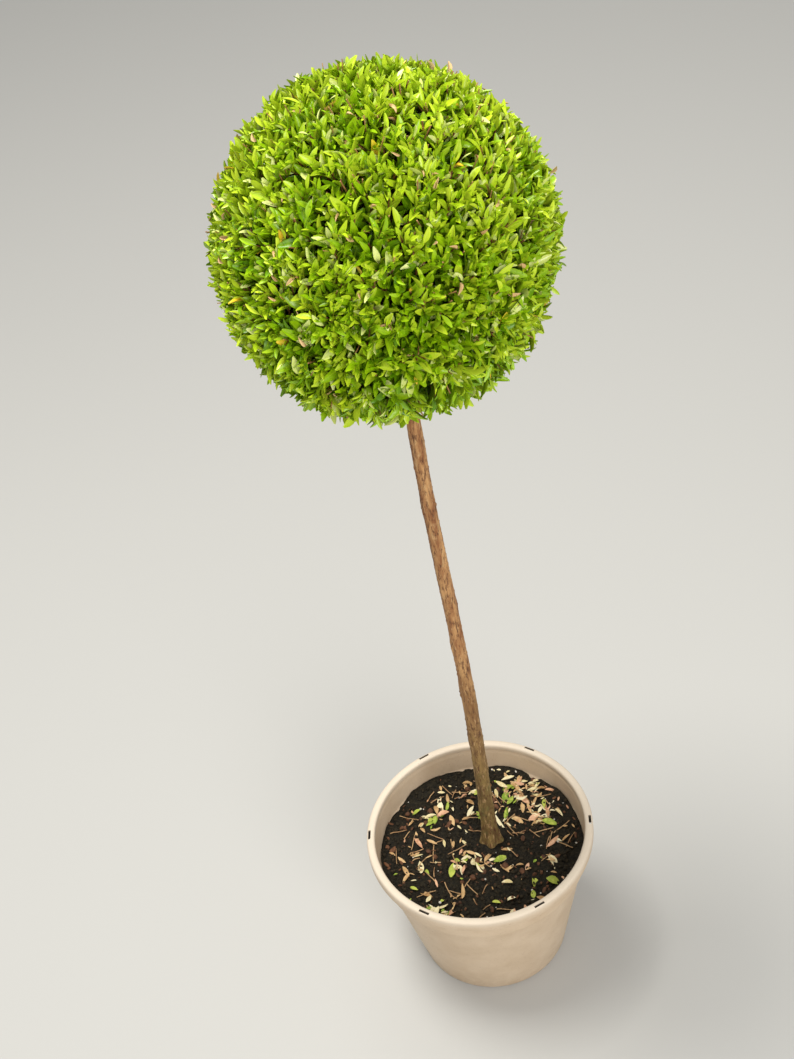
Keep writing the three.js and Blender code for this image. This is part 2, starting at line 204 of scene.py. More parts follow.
def relief_effect():
    """The fine unevenness of a surface."""
    inputs = {**noise_inputs, "Strength": 0.5, "Distance": 0.0005}
    group, given, result = shared_effect("Fine relief", inputs, {"Normal": "Vector"})
    bump = {label: given[label] for label in ("Strength", "Distance")}
    bump["Height"] = noise_by(group, given)
    set_inputs(group, result, {"Normal": output_of(group, "ShaderNodeBump", bump)})
    return group


mottle = mottle_effect()
fine_relief = relief_effect()


def patches(tree, place, size, edges, **colors):
    """Places the mottle effect. Its size is the waves to the metre, their detail and roughness."""
    inputs = dict(zip(("Place", *noise_sizes, "From", "To"), (place, *size, *edges)))
    return add_node(tree, "ShaderNodeGroup", {**inputs, **colors}, node_tree=mottle).outputs


def mottled(tree, place, size, edges, under, over, amount=1.0):
    return patches(tree, place, size, edges, Under=under, Over=over, Amount=amount)["Color"]


def uneven(tree, place, size, middle):
    """A roughness that drifts a little above and below a middle value, as noise does round 0.5."""
    calming = 2.5
    edges = (0.5 - calming * middle, 0.5 + calming - calming * middle)
    return patches(tree, place, size, edges)["Share"]


def relief(tree, place, size, strength, distance):
    """Places the fine relief, whose distance is its depth in metres."""
    inputs = dict(zip(noise_sizes, size))
    inputs.update({"Place": place, "Strength": strength, "Distance": distance})
    return add_node(tree, "ShaderNodeGroup", inputs, node_tree=fine_relief).outputs["Normal"]


def add_piece(name, mesh, material=None):
    piece = bpy.data.objects.new(name, mesh)
    bpy.context.scene.collection.objects.link(piece)
    if material:
        mesh.materials.clear()
        mesh.materials.append(material)
    return piece


def on_curve(points, share):
    """The place at a share of a curve that runs from a start to an end, bent by a middle point."""
    start, middle, end = points
    return (1 - share) ** 2 * start + 2 * share * (1 - share) * middle + share**2 * end


def curve_line(points, steps):
    """Places at even shares along a curve."""
    return [on_curve(points, step / steps) for step in range(steps + 1)]


def rounded(corners, steps):
    """A line through (radius, height, rounding) corners, each rounded by a short curve."""
    line = []
    for i, (radius, height, rounding) in enumerate(corners):
        here = Vector((radius, height))
        if rounding == 0 or i in (0, len(corners) - 1):
            line.append(here)
            continue
        before = Vector(corners[i - 1][:2])
        after = Vector(corners[i + 1][:2])
        start = here + (before - here).normalized() * rounding
        end = here + (after - here).normalized() * rounding
        line += curve_line((start, here, end), steps)
    return line


def ring_places(radius, count):
    """Places spread evenly on a circle round the middle."""
    angles = [2 * math.pi * i / count for i in range(count)]
    return [(radius * math.cos(angle), radius * math.sin(angle)) for angle in angles]


def add_skin(shape, rings):
    """Adds the faces between each ring of points and the next. A ring may be a single point."""
    for low, high in zip(rings, rings[1:]):
        count = max(len(low), len(high))
        for i in range(count):
            j = (i + 1) % count
            corners = [low[i % len(low)], low[j % len(low)]]
            corners += [high[j % len(high)], high[i % len(high)]]
            shape.faces.new(list(dict.fromkeys(corners)))


def turned(line, segments):
    """A closed body turned from a line of (radius, height) that starts and ends on the axis."""
    shape = bmesh.new()
    rings = []
    for radius, height in line:
        places = ring_places(radius, segments if radius > 0 else 1)
        rings.append([shape.verts.new((x, y, height)) for x, y in places])
    add_skin(shape, rings)
    bmesh.ops.recalc_face_normals(shape, faces=shape.faces)
    return shape


def mesh_from(name, shape):
    mesh = bpy.data.meshes.new(name)
    shape.to_mesh(mesh)
    shape.free()
    return mesh


def pot_line():
    """The pot's section: up the outside, over the rolled lip, and down the inside."""
    roll = LIP_WIDTH / 2 + POT_WALL / 2
    middle = Vector((POT_RIM_RADIUS - roll, POT_HEIGHT - roll))
    outside = [
        (0, 0, 0),
        (POT_BASE_RADIUS - 0.002, 0, 0.0008),
        (POT_BASE_RADIUS, 0.002, 0.0008),
        (wall_top_radius, collar_foot - STEP_DEPTH, 0.0012),
        (collar_foot_radius, collar_foot, 0.0007),
        (collar_foot_radius + 0.0003, collar_foot + 0.0012, 0.0004),
        (lip_inner - 0.0003, collar_top - 0.0022, 0.0005),
        (lip_inner - 0.0009, collar_top - 0.0013, 0.0004),
        (lip_inner - 0.0002, collar_top, 0.0003),
        (POT_RIM_RADIUS - 0.0004, collar_top, 0.0006),
        (POT_RIM_RADIUS, collar_top + 0.002, 0.0006),
        (POT_RIM_RADIUS, POT_HEIGHT - roll, 0),
    ]
    inner = middle.x - roll
    inside = [
        (inner, POT_HEIGHT - roll, 0),
        (inner, POT_HEIGHT - 0.0048, 0.0003),
        (inner + 0.0011, POT_HEIGHT - 0.0056, 0.0002),
        (lip_inner - POT_WALL, collar_top + 0.001, 0.001),
        (collar_foot_radius - POT_WALL, collar_foot + 0.001, 0.001),
        (wall_top_radius - POT_WALL, collar_foot - STEP_DEPTH + 0.001, 0.001),
        (POT_BASE_RADIUS - POT_WALL, POT_FLOOR, 0.001),
        (0, POT_FLOOR, 0),
    ]
    top = []
    for step in range(1, LIP_STEPS):
        angle = math.pi * step / LIP_STEPS
        out, up = math.cos(angle), math.sin(angle)
        out = math.copysign(abs(out) ** LIP_ROUNDNESS, out)
        top.append(middle + roll * Vector((out, up**LIP_ROUNDNESS)))
    return [*rounded(outside, steps=3), *top, *rounded(inside, steps=3)]


def pot_cutters():
    """The boxes and bars that cut the slots and the drain holes."""
    shape = bmesh.new()
    for i in range(SLOT_COUNT):
        turn = Matrix.Rotation(FIRST_SLOT_ANGLE + 2 * math.pi * i / SLOT_COUNT, 4, "Z")
        place = Matrix.Translation((slot_middle, 0, POT_HEIGHT))
        size = Matrix.Diagonal((SLOT_WIDTH, SLOT_LENGTH, 3 * LIP_HEIGHT, 1))
        bmesh.ops.create_cube(shape, size=1, matrix=turn @ place @ size)
    for i in range(DRAIN_HOLES):
        turn = Matrix.Rotation(2 * math.pi * i / DRAIN_HOLES, 4, "Z")
        place = turn @ Matrix.Translation((DRAIN_RING, 0, 0))
        sizes = {"radius1": DRAIN_RADIUS, "radius2": DRAIN_RADIUS, "depth": 4 * POT_FLOOR}
        bmesh.ops.create_cone(shape, cap_ends=True, segments=32, matrix=place, **sizes)
    return add_piece("pot_cutters", mesh_from("pot_cutters", shape))


def finished(piece):
    """A piece's mesh with its modifiers made part of it."""
    evaluated = piece.evaluated_get(bpy.context.evaluated_depsgraph_get())
    mesh = bpy.data.meshes.new_from_object(evaluated)
    piece.modifiers.clear()
    return mesh


def pot_plastic():
    """Sandy plastic: faint marbling, fine specks, a painted highlight on the lip, a stain above the
    mix, dust, and painted shade in the slots.
    """
    material, tree, shader = new_material("sandy_plastic")
    place = object_place(tree)
    height = height_of(tree, place)
    flat = {0: place, 1: (1, 1, 0)}
    level = output_of(tree, "ShaderNodeVectorMath", flat, operation="MULTIPLY")
    radius = add_node(tree, "ShaderNodeVectorMath", {0: level}, operation="LENGTH").outputs["Value"]
    sand, pale_sand = srgb(202, 179, 151), srgb(213, 192, 166)
    color = mottled(tree, place, (34, 5, 0.6), (0.36, 0.64), sand, pale_sand)
    color = mottled(tree, place, (900, 2, 0.6), (0.63, 0.72), color, srgb(150, 112, 84), 0.35)
    # The lip is painted paler: a painted highlight where its top catches the light from above.
    lip_painted_light = mask(tree, height, POT_HEIGHT - 0.006, POT_HEIGHT - 0.0005)
    color = mixed(tree, times(tree, lip_painted_light, 0.7), color, srgb(232, 220, 203))

    lean = COLLAR_TAPER / COLLAR_HEIGHT
    upright = worked_out(tree, "MULTIPLY_ADD", height, -lean, radius)
    wall_middle = collar_foot_radius - POT_WALL / 2 - lean * collar_foot
    inside = mask(tree, upright, wall_middle + 0.0003, wall_middle - 0.0003)
    stain = times(tree, mask(tree, height, collar_top - 0.001, collar_foot + 0.003), inside)
    stain = times(tree, mask(tree, height, collar_foot, collar_foot + 0.0006), stain)
    stain = times(tree, stain, 0.32)
    color = mottled(tree, place, (48, 6, 0.7), (0.4, 0.72), color, srgb(142, 118, 90), stain)
    dust = times(tree, mask(tree, height, 0.03, 0.0), 0.3)
    color = mottled(tree, place, (60, 6, 0.7), (0.42, 0.72), color, srgb(150, 120, 92), dust)

    # The slots' walls are painted nearly black: painted shade inside the slots.
    edge, fade = 0.6 * SLOT_WIDTH, 0.54 * SLOT_WIDTH
    slot_painted_shade = mask(tree, radius, slot_middle + edge, slot_middle + fade)
    slot_painted_shade = times(tree, slot_painted_shade, mask(tree, radius, slot_middle - edge, slot_middle - fade))
    below_top = mask(tree, height, POT_HEIGHT - 0.0004, POT_HEIGHT - 0.0014)
    above_foot = mask(tree, height, collar_top + 0.0003, collar_top + 0.0006)
    slot_painted_shade = times(tree, slot_painted_shade, times(tree, below_top, above_foot))
    color = mixed(tree, times(tree, slot_painted_shade, 0.85), color, srgb(52, 40, 32))

    scuffs = relief(tree, place, (420, 6, 0.7), 0.25, 0.0004)
    dullness = uneven(tree, place, (120, 5, 0.6), 0.58)
    set_inputs(tree, shader, {"Base Color": color, "Roughness": dullness, "Normal": scuffs})
    return material


pot_shape = add_piece("pot_shape", mesh_from("pot_shape", turned(pot_line(), POT_SEGMENTS)))
cutters = pot_cutters()
cut = pot_shape.modifiers.new("slots_and_holes", "BOOLEAN")
cut.operation = "DIFFERENCE"
cut.solver = "EXACT"
cut.object = cutters
pot_mesh = finished(pot_shape)
bpy.data.objects.remove(pot_shape)
bpy.data.objects.remove(cutters)
pot_mesh.shade_smooth()
pot_mesh.set_sharp_from_angle(angle=math.radians(38))
pot = add_piece("nursery_pot", pot_mesh, pot_plastic())
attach(pot, "root")
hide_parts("pot")


# Potting mix
# Dark peat and fine bark, watered down to a crumbly, uneven top about 24 mm below the rim. It is
# nearly level round the stem and banks up a little against the pot's wall.

MIX_TOP = 0.101
MIX_BUMP = 0.0022
MIX_LUMPS = 0.0015
MIX_BANK = 0.0015
MIX_BANK_RADIUS = 0.062
MIX_LEVEL_RADIUS = 0.017
MIX_EDGE_RADIUS = 0.0747
MIX_GAP = 0.0006
MIX_RINGS = 74
MIX_SPOKES = 190
STEM_FOOT = Vector((0.006, 0.008, 0.1013))


def mix_height(x, y):
    """Height of the mix's top at a place: slow waves of the pot's fill under lumps and crumbs."""
    from_stem = math.hypot(x - STEM_FOOT.x, y - STEM_FOOT.y)
    fade = smooth_step(from_stem, MIX_LEVEL_RADIUS, 2 * MIX_LEVEL_RADIUS)
    waves = math.sin(130 * x + 0.9) + math.sin(170 * y - 0.5) + math.sin(110 * (x - y) + 2.1)
    lumps = noise.fractal(Vector((x, y, 0)) * 120, 0.9, 2.2, 4)
    bank = MIX_BANK * smooth_step(math.hypot(x, y), MIX_BANK_RADIUS, MIX_EDGE_RADIUS)
    return MIX_TOP + fade * MIX_BUMP * waves / 3 + MIX_LUMPS * lumps + bank


def mix_shape():
    """The mix as a closed body that fills the pot, with an uneven top."""
    shape = bmesh.new()
    rings = []
    for ring in range(MIX_RINGS + 1):
        places = ring_places(MIX_EDGE_RADIUS * ring / MIX_RINGS, MIX_SPOKES if ring else 1)
        rings.append([shape.verts.new((x, y, mix_height(x, y))) for x, y in places])
    shoulder = (wall_top_radius - POT_WALL - MIX_GAP, collar_foot - STEP_DEPTH)
    foot = (POT_BASE_RADIUS - POT_WALL - MIX_GAP, POT_FLOOR + 0.0003)
    for radius, height in (shoulder, foot):
        places = ring_places(radius, MIX_SPOKES)
        rings.append([shape.verts.new((x, y, height)) for x, y in places])
    add_skin(shape, rings)
    shape.faces.new(reversed(rings[-1]))
    bmesh.ops.recalc_face_normals(shape, faces=shape.faces)
    return shape


def peat_mix(name, dark, light, sheen):
    """Moist peat: nearly black with brown crumbs, matt, with a damp glint here and there."""
    material, tree, shader = new_material(name)
    place = object_place(tree)
    color = mottled(tree, place, (420, 7, 0.75), (0.42, 0.68), dark, light)
    color = mottled(tree, place, (1400, 3, 0.6), (0.62, 0.7), color, srgb(102, 83, 55), 0.5)
    crumbs = relief(tree, place, (900, 8, 0.8), 0.9, 0.0012)
    dullness = uneven(tree, place, (260, 4, 0.6), 0.85 - sheen)
    looks = {"Base Color": color, "Roughness": dullness, "Normal": crumbs}
    set_inputs(tree, shader, {**looks, "Specular IOR Level": 0.3})
    return material


mix_mesh = mesh_from("potting_mix_top", mix_shape())
mix_mesh.shade_smooth()
mix = add_piece("mix_in_pot", mix_mesh, peat_mix("peat", srgb(17, 15, 9), srgb(50, 44, 30), 0.0))
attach(mix, "root")
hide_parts("potting_mix")


# Crumbs, bark chips and perlite in the mix
# Peat breaks into small round crumbs, the bark in it is cut into flat chips, and the white grains
# are perlite, which is puffed rock. They lie half sunk in the mix's top.

CRUMB_COUNT = 2600
CRUMB_LENGTHS = (0.0007, 0.0042)
CHIP_COUNT = 260
CHIP_LENGTHS = (0.0018, 0.0062)
PERLITE_COUNT = 46
PERLITE_LENGTHS = (0.0008, 0.0024)
LUMP_EDGE_RADIUS = 0.0725
STEM_FOOT_CLEARANCE = 0.011


def seeded_random(seed):
    """Numbers from 0 to 1 that are the same on each run, by the rule of the part's source."""
    state = seed
    wrap = 0xFFFFFFFF

    def draw():
        nonlocal state
        state = (state + 0x6D2B79F5) & wrap
        number = ((state ^ (state >> 15)) * (1 | state)) & wrap
        number = ((number + (number ^ (number >> 7)) * (61 | number)) ^ number) & wrap
        return ((number ^ (number >> 14)) & wrap) / (wrap + 1)

    return draw


def direction_at(angle, z):
    """The direction at an angle round the upright axis that rises by z."""
    level = math.sqrt(1 - z * z)
    return Vector((level * math.cos(angle), level * math.sin(angle), z))


def any_direction(draw):
    """A direction that is as likely as any other."""
    z = 2 * draw() - 1
    return direction_at(2 * math.pi * draw(), z)


def place_on_mix(draw, largest_radius):
    """A place on the mix's top, clear of the stem's foot."""
    while True:
        radius = largest_radius * math.sqrt(draw())
        angle = 2 * math.pi * draw()
        x, y = radius * math.cos(angle), radius * math.sin(angle)
        if math.hypot(x - STEM_FOOT.x, y - STEM_FOOT.y) > STEM_FOOT_CLEARANCE:
            return Vector((x, y, mix_height(x, y)))


def standing(place, along, facing, size, tint):
    """One item: where it stands, where it points and faces, its size, and its tint from 0 to 1."""
    return {"place": place, "along": along, "facing": facing, "size": size, "tint": tint}


def give_points(mesh, name, values):
    """Gives each point of a mesh its own value."""
    mesh.attributes.new(name, "FLOAT", "POINT").data.foreach_set("value", values)


item_fields = ("along", "facing", "size")


def points_mesh(name, items):
    """Loose points, each with the values of the item that stands there."""
    mesh = bpy.data.meshes.new(name)
    mesh.from_pydata([item["place"] for item in items], [], [])
    for field in item_fields:
        values = mesh.attributes.new(field, "FLOAT_VECTOR", "POINT").data
        values.foreach_set("vector", [number for item in items for number in item[field]])
    give_points(mesh, "tint", [item["tint"] for item in items])
    return mesh


def field_value(tree, name, kind):
    return output_of(tree, "GeometryNodeInputNamedAttribute", {"Name": name}, data_type=kind)


def start_tree(name, **sizes):
    """A Geometry Nodes tree with a geometry in and out, and named inputs for its sizes."""
    inputs = {"Points": "Geometry", **sizes, "Material": "Material"}
    return start_group(name, "GeometryNodeTree", inputs, {"Geometry": "Geometry"})


def finish_tree(tree, given, result, shape):
    """Ends a tree: its instances are made real and take its material."""
    real = output_of(tree, "GeometryNodeRealizeInstances", {0: shape})
    paint = {"Geometry": real, "Material": given["Material"]}
    set_inputs(tree, result, {"Geometry": output_of(tree, "GeometryNodeSetMaterial", paint)})


def set_on_points(tree, given, result, item):
    """Sets one item on each point, turned and sized by the point's own values."""
    along, facing, size = (field_value(tree, field, "FLOAT_VECTOR") for field in item_fields)
    axes = {"Primary Axis": along, "Secondary Axis": facing}
    axis_names = {"primary_axis": "X", "secondary_axis": "Z"}
    turn = output_of(tree, "FunctionNodeAxesToRotation", axes, **axis_names)
    spread = {"Points": given["Points"], "Instance": item, "Rotation": turn, "Scale": size}
    items = output_of(tree, "GeometryNodeInstanceOnPoints", spread)
    finish_tree(tree, given, result, items)


def grown(name, mesh, tree, material, **sizes):
    """Runs a Geometry Nodes tree on a mesh, and gives the result as a piece with a plain mesh."""
    start = add_piece("start_of_" + name, mesh)
    modifier = start.modifiers.new("grow", "NODES")
    modifier.node_group = tree
    values = {**sizes, "Material": material}
    for socket in tree.interface.items_tree:
        if socket.in_out == "INPUT" and socket.name in values:
            modifier[socket.identifier] = values[socket.name]
    result = finished(start)
    bpy.data.objects.remove(start)
    result.polygons.foreach_set("material_index", [0] * len(result.polygons))
    return add_piece(name, result, material)


def lump_tree():
    """A small rough stone or crumb on each point."""
    tree, given, result = start_tree("Lumps on points", Roughness=0.25, Level=1)
    ball_sizes = {"Radius": 0.5, "Subdivisions": given["Level"]}
    ball = output_of(tree, "GeometryNodeMeshIcoSphere", ball_sizes)
    rough = add_node(tree, "ShaderNodeTexNoise", {"Scale": 2.3, "Detail": 1.0}).outputs["Color"]
    from_grey = {0: rough, 1: (0.5, 0.5, 0.5)}
    centred = output_of(tree, "ShaderNodeVectorMath", from_grey, operation="SUBTRACT")
    strength = {0: centred, "Scale": given["Roughness"]}
    push = output_of(tree, "ShaderNodeVectorMath", strength, operation="SCALE")
    lump = output_of(tree, "GeometryNodeSetPosition", {"Geometry": ball, "Offset": push})
    lump = output_of(tree, "GeometryNodeSetShadeSmooth", {0: lump})
    set_on_points(tree, given, result, lump)
    return tree


def lumps_on_mix(seed, count, lengths, narrowest, flattest, sunk):
    """Lumps strewn on the mix. Their least width, least height and depth in it are shares."""
    draw = seeded_random(seed)
    items = []
    for _ in range(count):
        place = place_on_mix(draw, LUMP_EDGE_RADIUS)
        length = between(*lengths, draw() ** 2.2)
        width = length * between(narrowest, 1, draw())
        size = Vector((length, width, width * between(flattest, 1, draw() ** 2)))
        place.z += size.z * (0.5 - sunk)
        facing = Vector((0, 0, 1)) + 0.5 * any_direction(draw)
        items.append(standing(place, any_direction(draw), facing, size, draw()))
    return items


def own_tint(tree):
    return add_node(tree, "ShaderNodeAttribute", attribute_name="tint").outputs["Fac"]


def rough_skin(name, dark, light, waves=320, edges=(0.42, 0.66), fineness=1200, roughness=0.7):
    """A matt surface: each item's own tint, clouds of the lighter colour, and a fine relief."""
    material, tree, shader = new_material(name)
    place = object_place(tree)
    color = mixed(tree, times(tree, own_tint(tree), 0.7), dark, light)
    color = mottled(tree, place, (waves, 4, 0.6), edges, color, light, 0.75)
    fine = relief(tree, place, (fineness, 5, 0.6), 0.6, 0.0005)
    set_inputs(tree, shader, {"Base Color": color, "Roughness": roughness, "Normal": fine})
    return material


lumps = lump_tree()
crumb_peat = peat_mix("crumbs", srgb(26, 23, 15), srgb(68, 57, 38), 0.1)
bark_grain = {"waves": 300, "edges": (0.44, 0.64), "fineness": 1500, "roughness": 0.8}
chip_bark = rough_skin("chip_bark", srgb(62, 38, 25), srgb(122, 80, 50), **bark_grain)
rock_grain = {"waves": 700, "edges": (0.4, 0.7), "fineness": 2200, "roughness": 0.9}
puffed_rock = rough_skin("puffed_rock", srgb(196, 188, 172), srgb(240, 236, 226), **rock_grain)
crumbs = lumps_on_mix(21, CRUMB_COUNT, CRUMB_LENGTHS, narrowest=0.6, flattest=0.6, sunk=0.25)
chips = lumps_on_mix(22, CHIP_COUNT, CHIP_LENGTHS, narrowest=0.3, flattest=0.25, sunk=0.2)
grains = lumps_on_mix(23, PERLITE_COUNT, PERLITE_LENGTHS, narrowest=0.7, flattest=0.8, sunk=0.1)
lump_kinds = (
    ("peat_crumbs", crumbs, crumb_peat, 1, 0.25),
    ("bark_chips", chips, chip_bark, 2, 0.5),
    ("perlite_grains", grains, puffed_rock, 2, 0.35),
)
for name, items, material, level, roughness in lump_kinds:
    piece = grown(name, points_mesh(name, items), lumps, material, Level=level, Roughness=roughness)
    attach(piece, "root")


# Main stem and boughs
# One woody stem, trained up bare from the mix, with the scars of its cut side shoots. It runs on
# into the ball, where three opposite pairs of boughs part from it. Thin bark, flecked and split.

CROWN_WIDTH = 0.184
CROWN_HEIGHT = 0.194
CROWN_CENTRE = Vector((-0.004, 0.008, 0.614))
CHAMBER_CENTRE = CROWN_CENTRE - Vector((0, 0, 0.006))
CHAMBER_RADIUS = 0.043
CHAMBER_HALF_HEIGHT = 0.046
STEM_TIP = CROWN_CENTRE + Vector((0, 0, 0.012))
STEM_RADIUS_AT_MIX = 0.00525
STEM_RADIUS_AT_CROWN = 0.004
STEM_TIP_RADIUS = 0.002
STEM_WANDER = 0.0024
STEM_FLARE = 0.0032
FLARE_HEIGHT = 0.011
ROOT_RIDGES = 5
RIDGE_SHARE = 0.35
RIDGE_TURN = 0.7
KNOT_COUNT = 9
KNOT_RISE = 0.0009
KNOT_HEIGHTS = (0.005, 0.008)
KNOT_NARROWNESS = 2.4
BOUGH_PAIRS = 3
FIRST_BOUGHS_BELOW_CENTRE = 0.048
BOUGH_PAIR_SPACING = 0.019
FIRST_BOUGH_TURN = 0.35
BOUGH_CLIMB = math.radians(28)
BOUGH_SAG = 0.004
BOUGH_ENTRY = 0.0025
BOUGH_COLLAR = 0.0012
BOUGH_BASE_RADIUS = 0.0024
BOUGH_TIP_RADIUS = 0.0013

stem_length = (STEM_TIP - STEM_FOOT).length
share_at_crown = (CROWN_CENTRE.z - CROWN_HEIGHT / 2 - STEM_FOOT.z) / (STEM_TIP.z - STEM_FOOT.z)


def stem_place(share):
    """Middle of the stem at a share of its height, with the slow wander of a trained stem."""
    sway = math.sin(math.pi * share) * STEM_WANDER
    place = STEM_FOOT.lerp(STEM_TIP, share)
    place.x += sway * math.sin(5.2 * share + 0.4)
    place.y += sway * math.sin(4.1 * share + 1.9)
    return place


def stem_knots():
    """The scars of cut side shoots: each one's share of the stem's height, angle and own height."""
    draw = seeded_random(11)
    knots = []
    for i in range(KNOT_COUNT):
        share = share_at_crown * (i + between(0.6, 1.1, draw())) / (KNOT_COUNT + 0.6)
        angle = 2 * math.pi * draw()
        knots.append((share, angle, between(*KNOT_HEIGHTS, draw())))
    return knots


knots = stem_knots()


def stem_radius(share, angle):
    """The stem's true taper, with its root flare, its knots and the pit in each."""
    bare = between(STEM_RADIUS_AT_MIX, STEM_RADIUS_AT_CROWN, min(share / share_at_crown, 1))
    inside = max(0.0, (share - share_at_crown) / (1 - share_at_crown))
    radius = between(bare, STEM_TIP_RADIUS, inside)
    ridge = 1 + RIDGE_SHARE * math.cos(ROOT_RIDGES * angle + RIDGE_TURN)
    radius += STEM_FLARE * math.exp(-share * stem_length / FLARE_HEIGHT) * ridge
    for knot_share, knot_angle, knot_height in knots:
        up = (share - knot_share) * stem_length / knot_height
        if abs(up) < 3:
            across = math.sin((angle - knot_angle) / 2) * KNOT_NARROWNESS
            radius += KNOT_RISE * math.exp(-up * up - across * across)
            pit = math.exp(-((up * 2.6) ** 2) - (across * 2.6) ** 2)
            radius -= 0.6 * KNOT_RISE * pit
    return radius


def bark_rise(place, around, up):
    """Height of the bark's relief: long shallow ridges, finer splits, small warts and flakes."""
    ridges = noise.noise(Vector((around.x * 2.6, around.y * 2.6, up * 70)))
    splits = noise.noise(Vector((around.x * 6, around.y * 6, up * 420 + 7)))
    warts = max(0.0, noise.noise(Vector((around.x * 5, around.y * 5, up * 330 + 31))) - 0.32)
    flakes = noise.fractal(place * 900, 0.8, 2.1, 3)
    return 0.00032 * ridges + 0.00012 * splits + 0.0011 * warts + 0.00007 * flakes


def level_direction(angle):
    return Vector((math.cos(angle), math.sin(angle), 0))


def limb(shape, place_at, radius_at, sides, steps, bark):
    """Adds a closed limb along a line. Its radius follows the share of its length and the angle."""
    places = [place_at(step / steps) for step in range(steps + 1)]
    side = Vector((0, 1, 0))
    rings = []
    gone = 0.0
    for step, place in enumerate(places):
        before, after = places[max(step - 1, 0)], places[min(step + 1, steps)]
        onward = (after - before).normalized()
        side = (side - side.dot(onward) * onward).normalized()
        across = side.cross(onward)
        gone += (place - places[step - 1]).length if step else 0
        ring = []
        for i in range(sides):
            angle = 2 * math.pi * i / sides
            around = level_direction(angle)
            out = around.x * across + around.y * side
            radius = radius_at(step / steps, math.atan2(out.y, out.x))
            surface = place + out * radius
            ring.append(shape.verts.new(surface + out * bark_rise(surface, around, gone) * bark))
        rings.append(ring)
    add_skin(shape, rings)
    shape.faces.new(reversed(rings[0]))
    shape.faces.new(rings[-1])


def distance_to_wall(place, direction):
    """Distance from a place in the ball's open middle to its wall of twigs."""
    stretch = (CHAMBER_RADIUS, CHAMBER_RADIUS, CHAMBER_HALF_HEIGHT)
    start = Vector([(a - b) / s for a, b, s in zip(place, CHAMBER_CENTRE, stretch)])
    step = Vector([d / s for d, s in zip(direction, stretch)])
    half = start.dot(step)
    square = step.length_squared
    return (-half + math.sqrt(half * half - square * (start.length_squared - 1))) / square


def bough_points(pair, side):
    """Start, middle and end of a bough, from inside the stem to just inside the wall of twigs."""
    height = CROWN_CENTRE.z - FIRST_BOUGHS_BELOW_CENTRE + pair * BOUGH_PAIR_SPACING
    start = stem_place((height - STEM_FOOT.z) / (STEM_TIP.z - STEM_FOOT.z))
    turn = pair * math.pi / 2 + side * math.pi + FIRST_BOUGH_TURN
    direction = direction_at(turn, math.sin(BOUGH_CLIMB))
    end = start + direction * (distance_to_wall(start, direction) + BOUGH_ENTRY)
    middle = start.lerp(end, 0.5) - Vector((0, 0, BOUGH_SAG))
    return start, middle, end


def bough_radius(share, _angle):
    collar = BOUGH_COLLAR * math.exp(-share * 9)
    return between(BOUGH_BASE_RADIUS, BOUGH_TIP_RADIUS, share) + collar


def stem_bark():
    """Thin reddish tan bark, greener near the mix, with pale flecks and dark fine splits."""
    material, tree, shader = new_material("stem_bark")
    place = object_place(tree)
    height = height_of(tree, place)
    drawn_out = {"Vector": place, "Scale": (1, 1, 0.22)}
    stretched = output_of(tree, "ShaderNodeMapping", drawn_out)
    edges = (0.38, 0.64)
    warm = mottled(tree, stretched, (170, 5, 0.65), edges, srgb(148, 96, 56), srgb(212, 163, 108))
    olive = mottled(tree, stretched, (180, 5, 0.65), edges, srgb(102, 80, 42), srgb(148, 122, 70))
    color = mixed(tree, mask(tree, height, 0.31, 0.17), warm, olive)
    color = mottled(tree, stretched, (560, 3, 0.6), (0.56, 0.66), color, srgb(212, 174, 124), 0.6)
    color = mottled(tree, stretched, (480, 6, 0.75), (0.46, 0.37), color, srgb(84, 46, 26), 0.85)
    color = mottled(tree, stretched, (760, 4, 0.6), (0.56, 0.64), color, srgb(92, 52, 30), 0.75)
    damp = times(tree, mask(tree, height, 0.3, 0.1), 0.5)
    color = mottled(tree, place, (150, 4, 0.6), (0.56, 0.7), color, srgb(104, 112, 62), damp)
    grain = relief(tree, stretched, (700, 8, 0.75), 0.6, 0.0009)
    set_inputs(tree, shader, {"Base Color": color, "Roughness": 0.78, "Normal": grain})
    return material


bark = stem_bark()
wood = bmesh.new()
limb(wood, stem_place, stem_radius, sides=44, steps=620, bark=1.0)
boughs = [bough_points(pair, side) for pair in range(BOUGH_PAIRS) for side in (0, 1)]
for points in boughs:
    limb(wood, lambda share: on_curve(points, share), bough_radius, sides=16, steps=44, bark=0.6)
wood_mesh = mesh_from("stem_and_boughs", wood)
wood_mesh.shade_smooth()
stem = add_piece("stem_and_boughs", wood_mesh, bark)
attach(stem, "root")
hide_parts("main_stem", *(f"bough_{i + 1}" for i in range(2 * BOUGH_PAIRS)))


# Branches and twigs of the clipped ball
# From the boughs and the stem's tip the wood parts again and again, in opposite pairs, out to thin
# reddish shoots. Shears have cut every shoot back to one round outline, a little taller than wide.

LUMP = 0.03
UNDER_CUT = 0.05
BRANCH_COUNT = 84
SPRAY_COUNT = 1220
BRANCH_REACHES = (0.58, 0.67)
TIP_INSETS = (0.003, 0.009)
HOLLOW_WAVES = 6.5
GROWTH_LIFTS = (0.45, 1.3)
LEAFY_DEPTH = 0.024
NODE_SPACING = 0.0054
SIDE_LEAN = math.radians(44)
SIDE_SHOOT_SHARE = 0.4
SIDE_SHOOT_LENGTHS = (0.007, 0.017)
SHORTEST_SIDE_SHOOT = 0.004
SIDE_SHOOT_INSET = 0.0025
SIDE_SHOOT_AGE = 0.12
BRANCH_RADII = (0.0012, 0.0008)
SHOOT_RADII = (0.0008, 0.00045)
SIDE_SHOOT_RADII = (0.00045, 0.0003)
BRANCH_CLEARANCE = 0.02
SHOOT_CLEARANCE = 0.009
TWIG_STEPS = 6
SIDE_TWIG_STEPS = 2


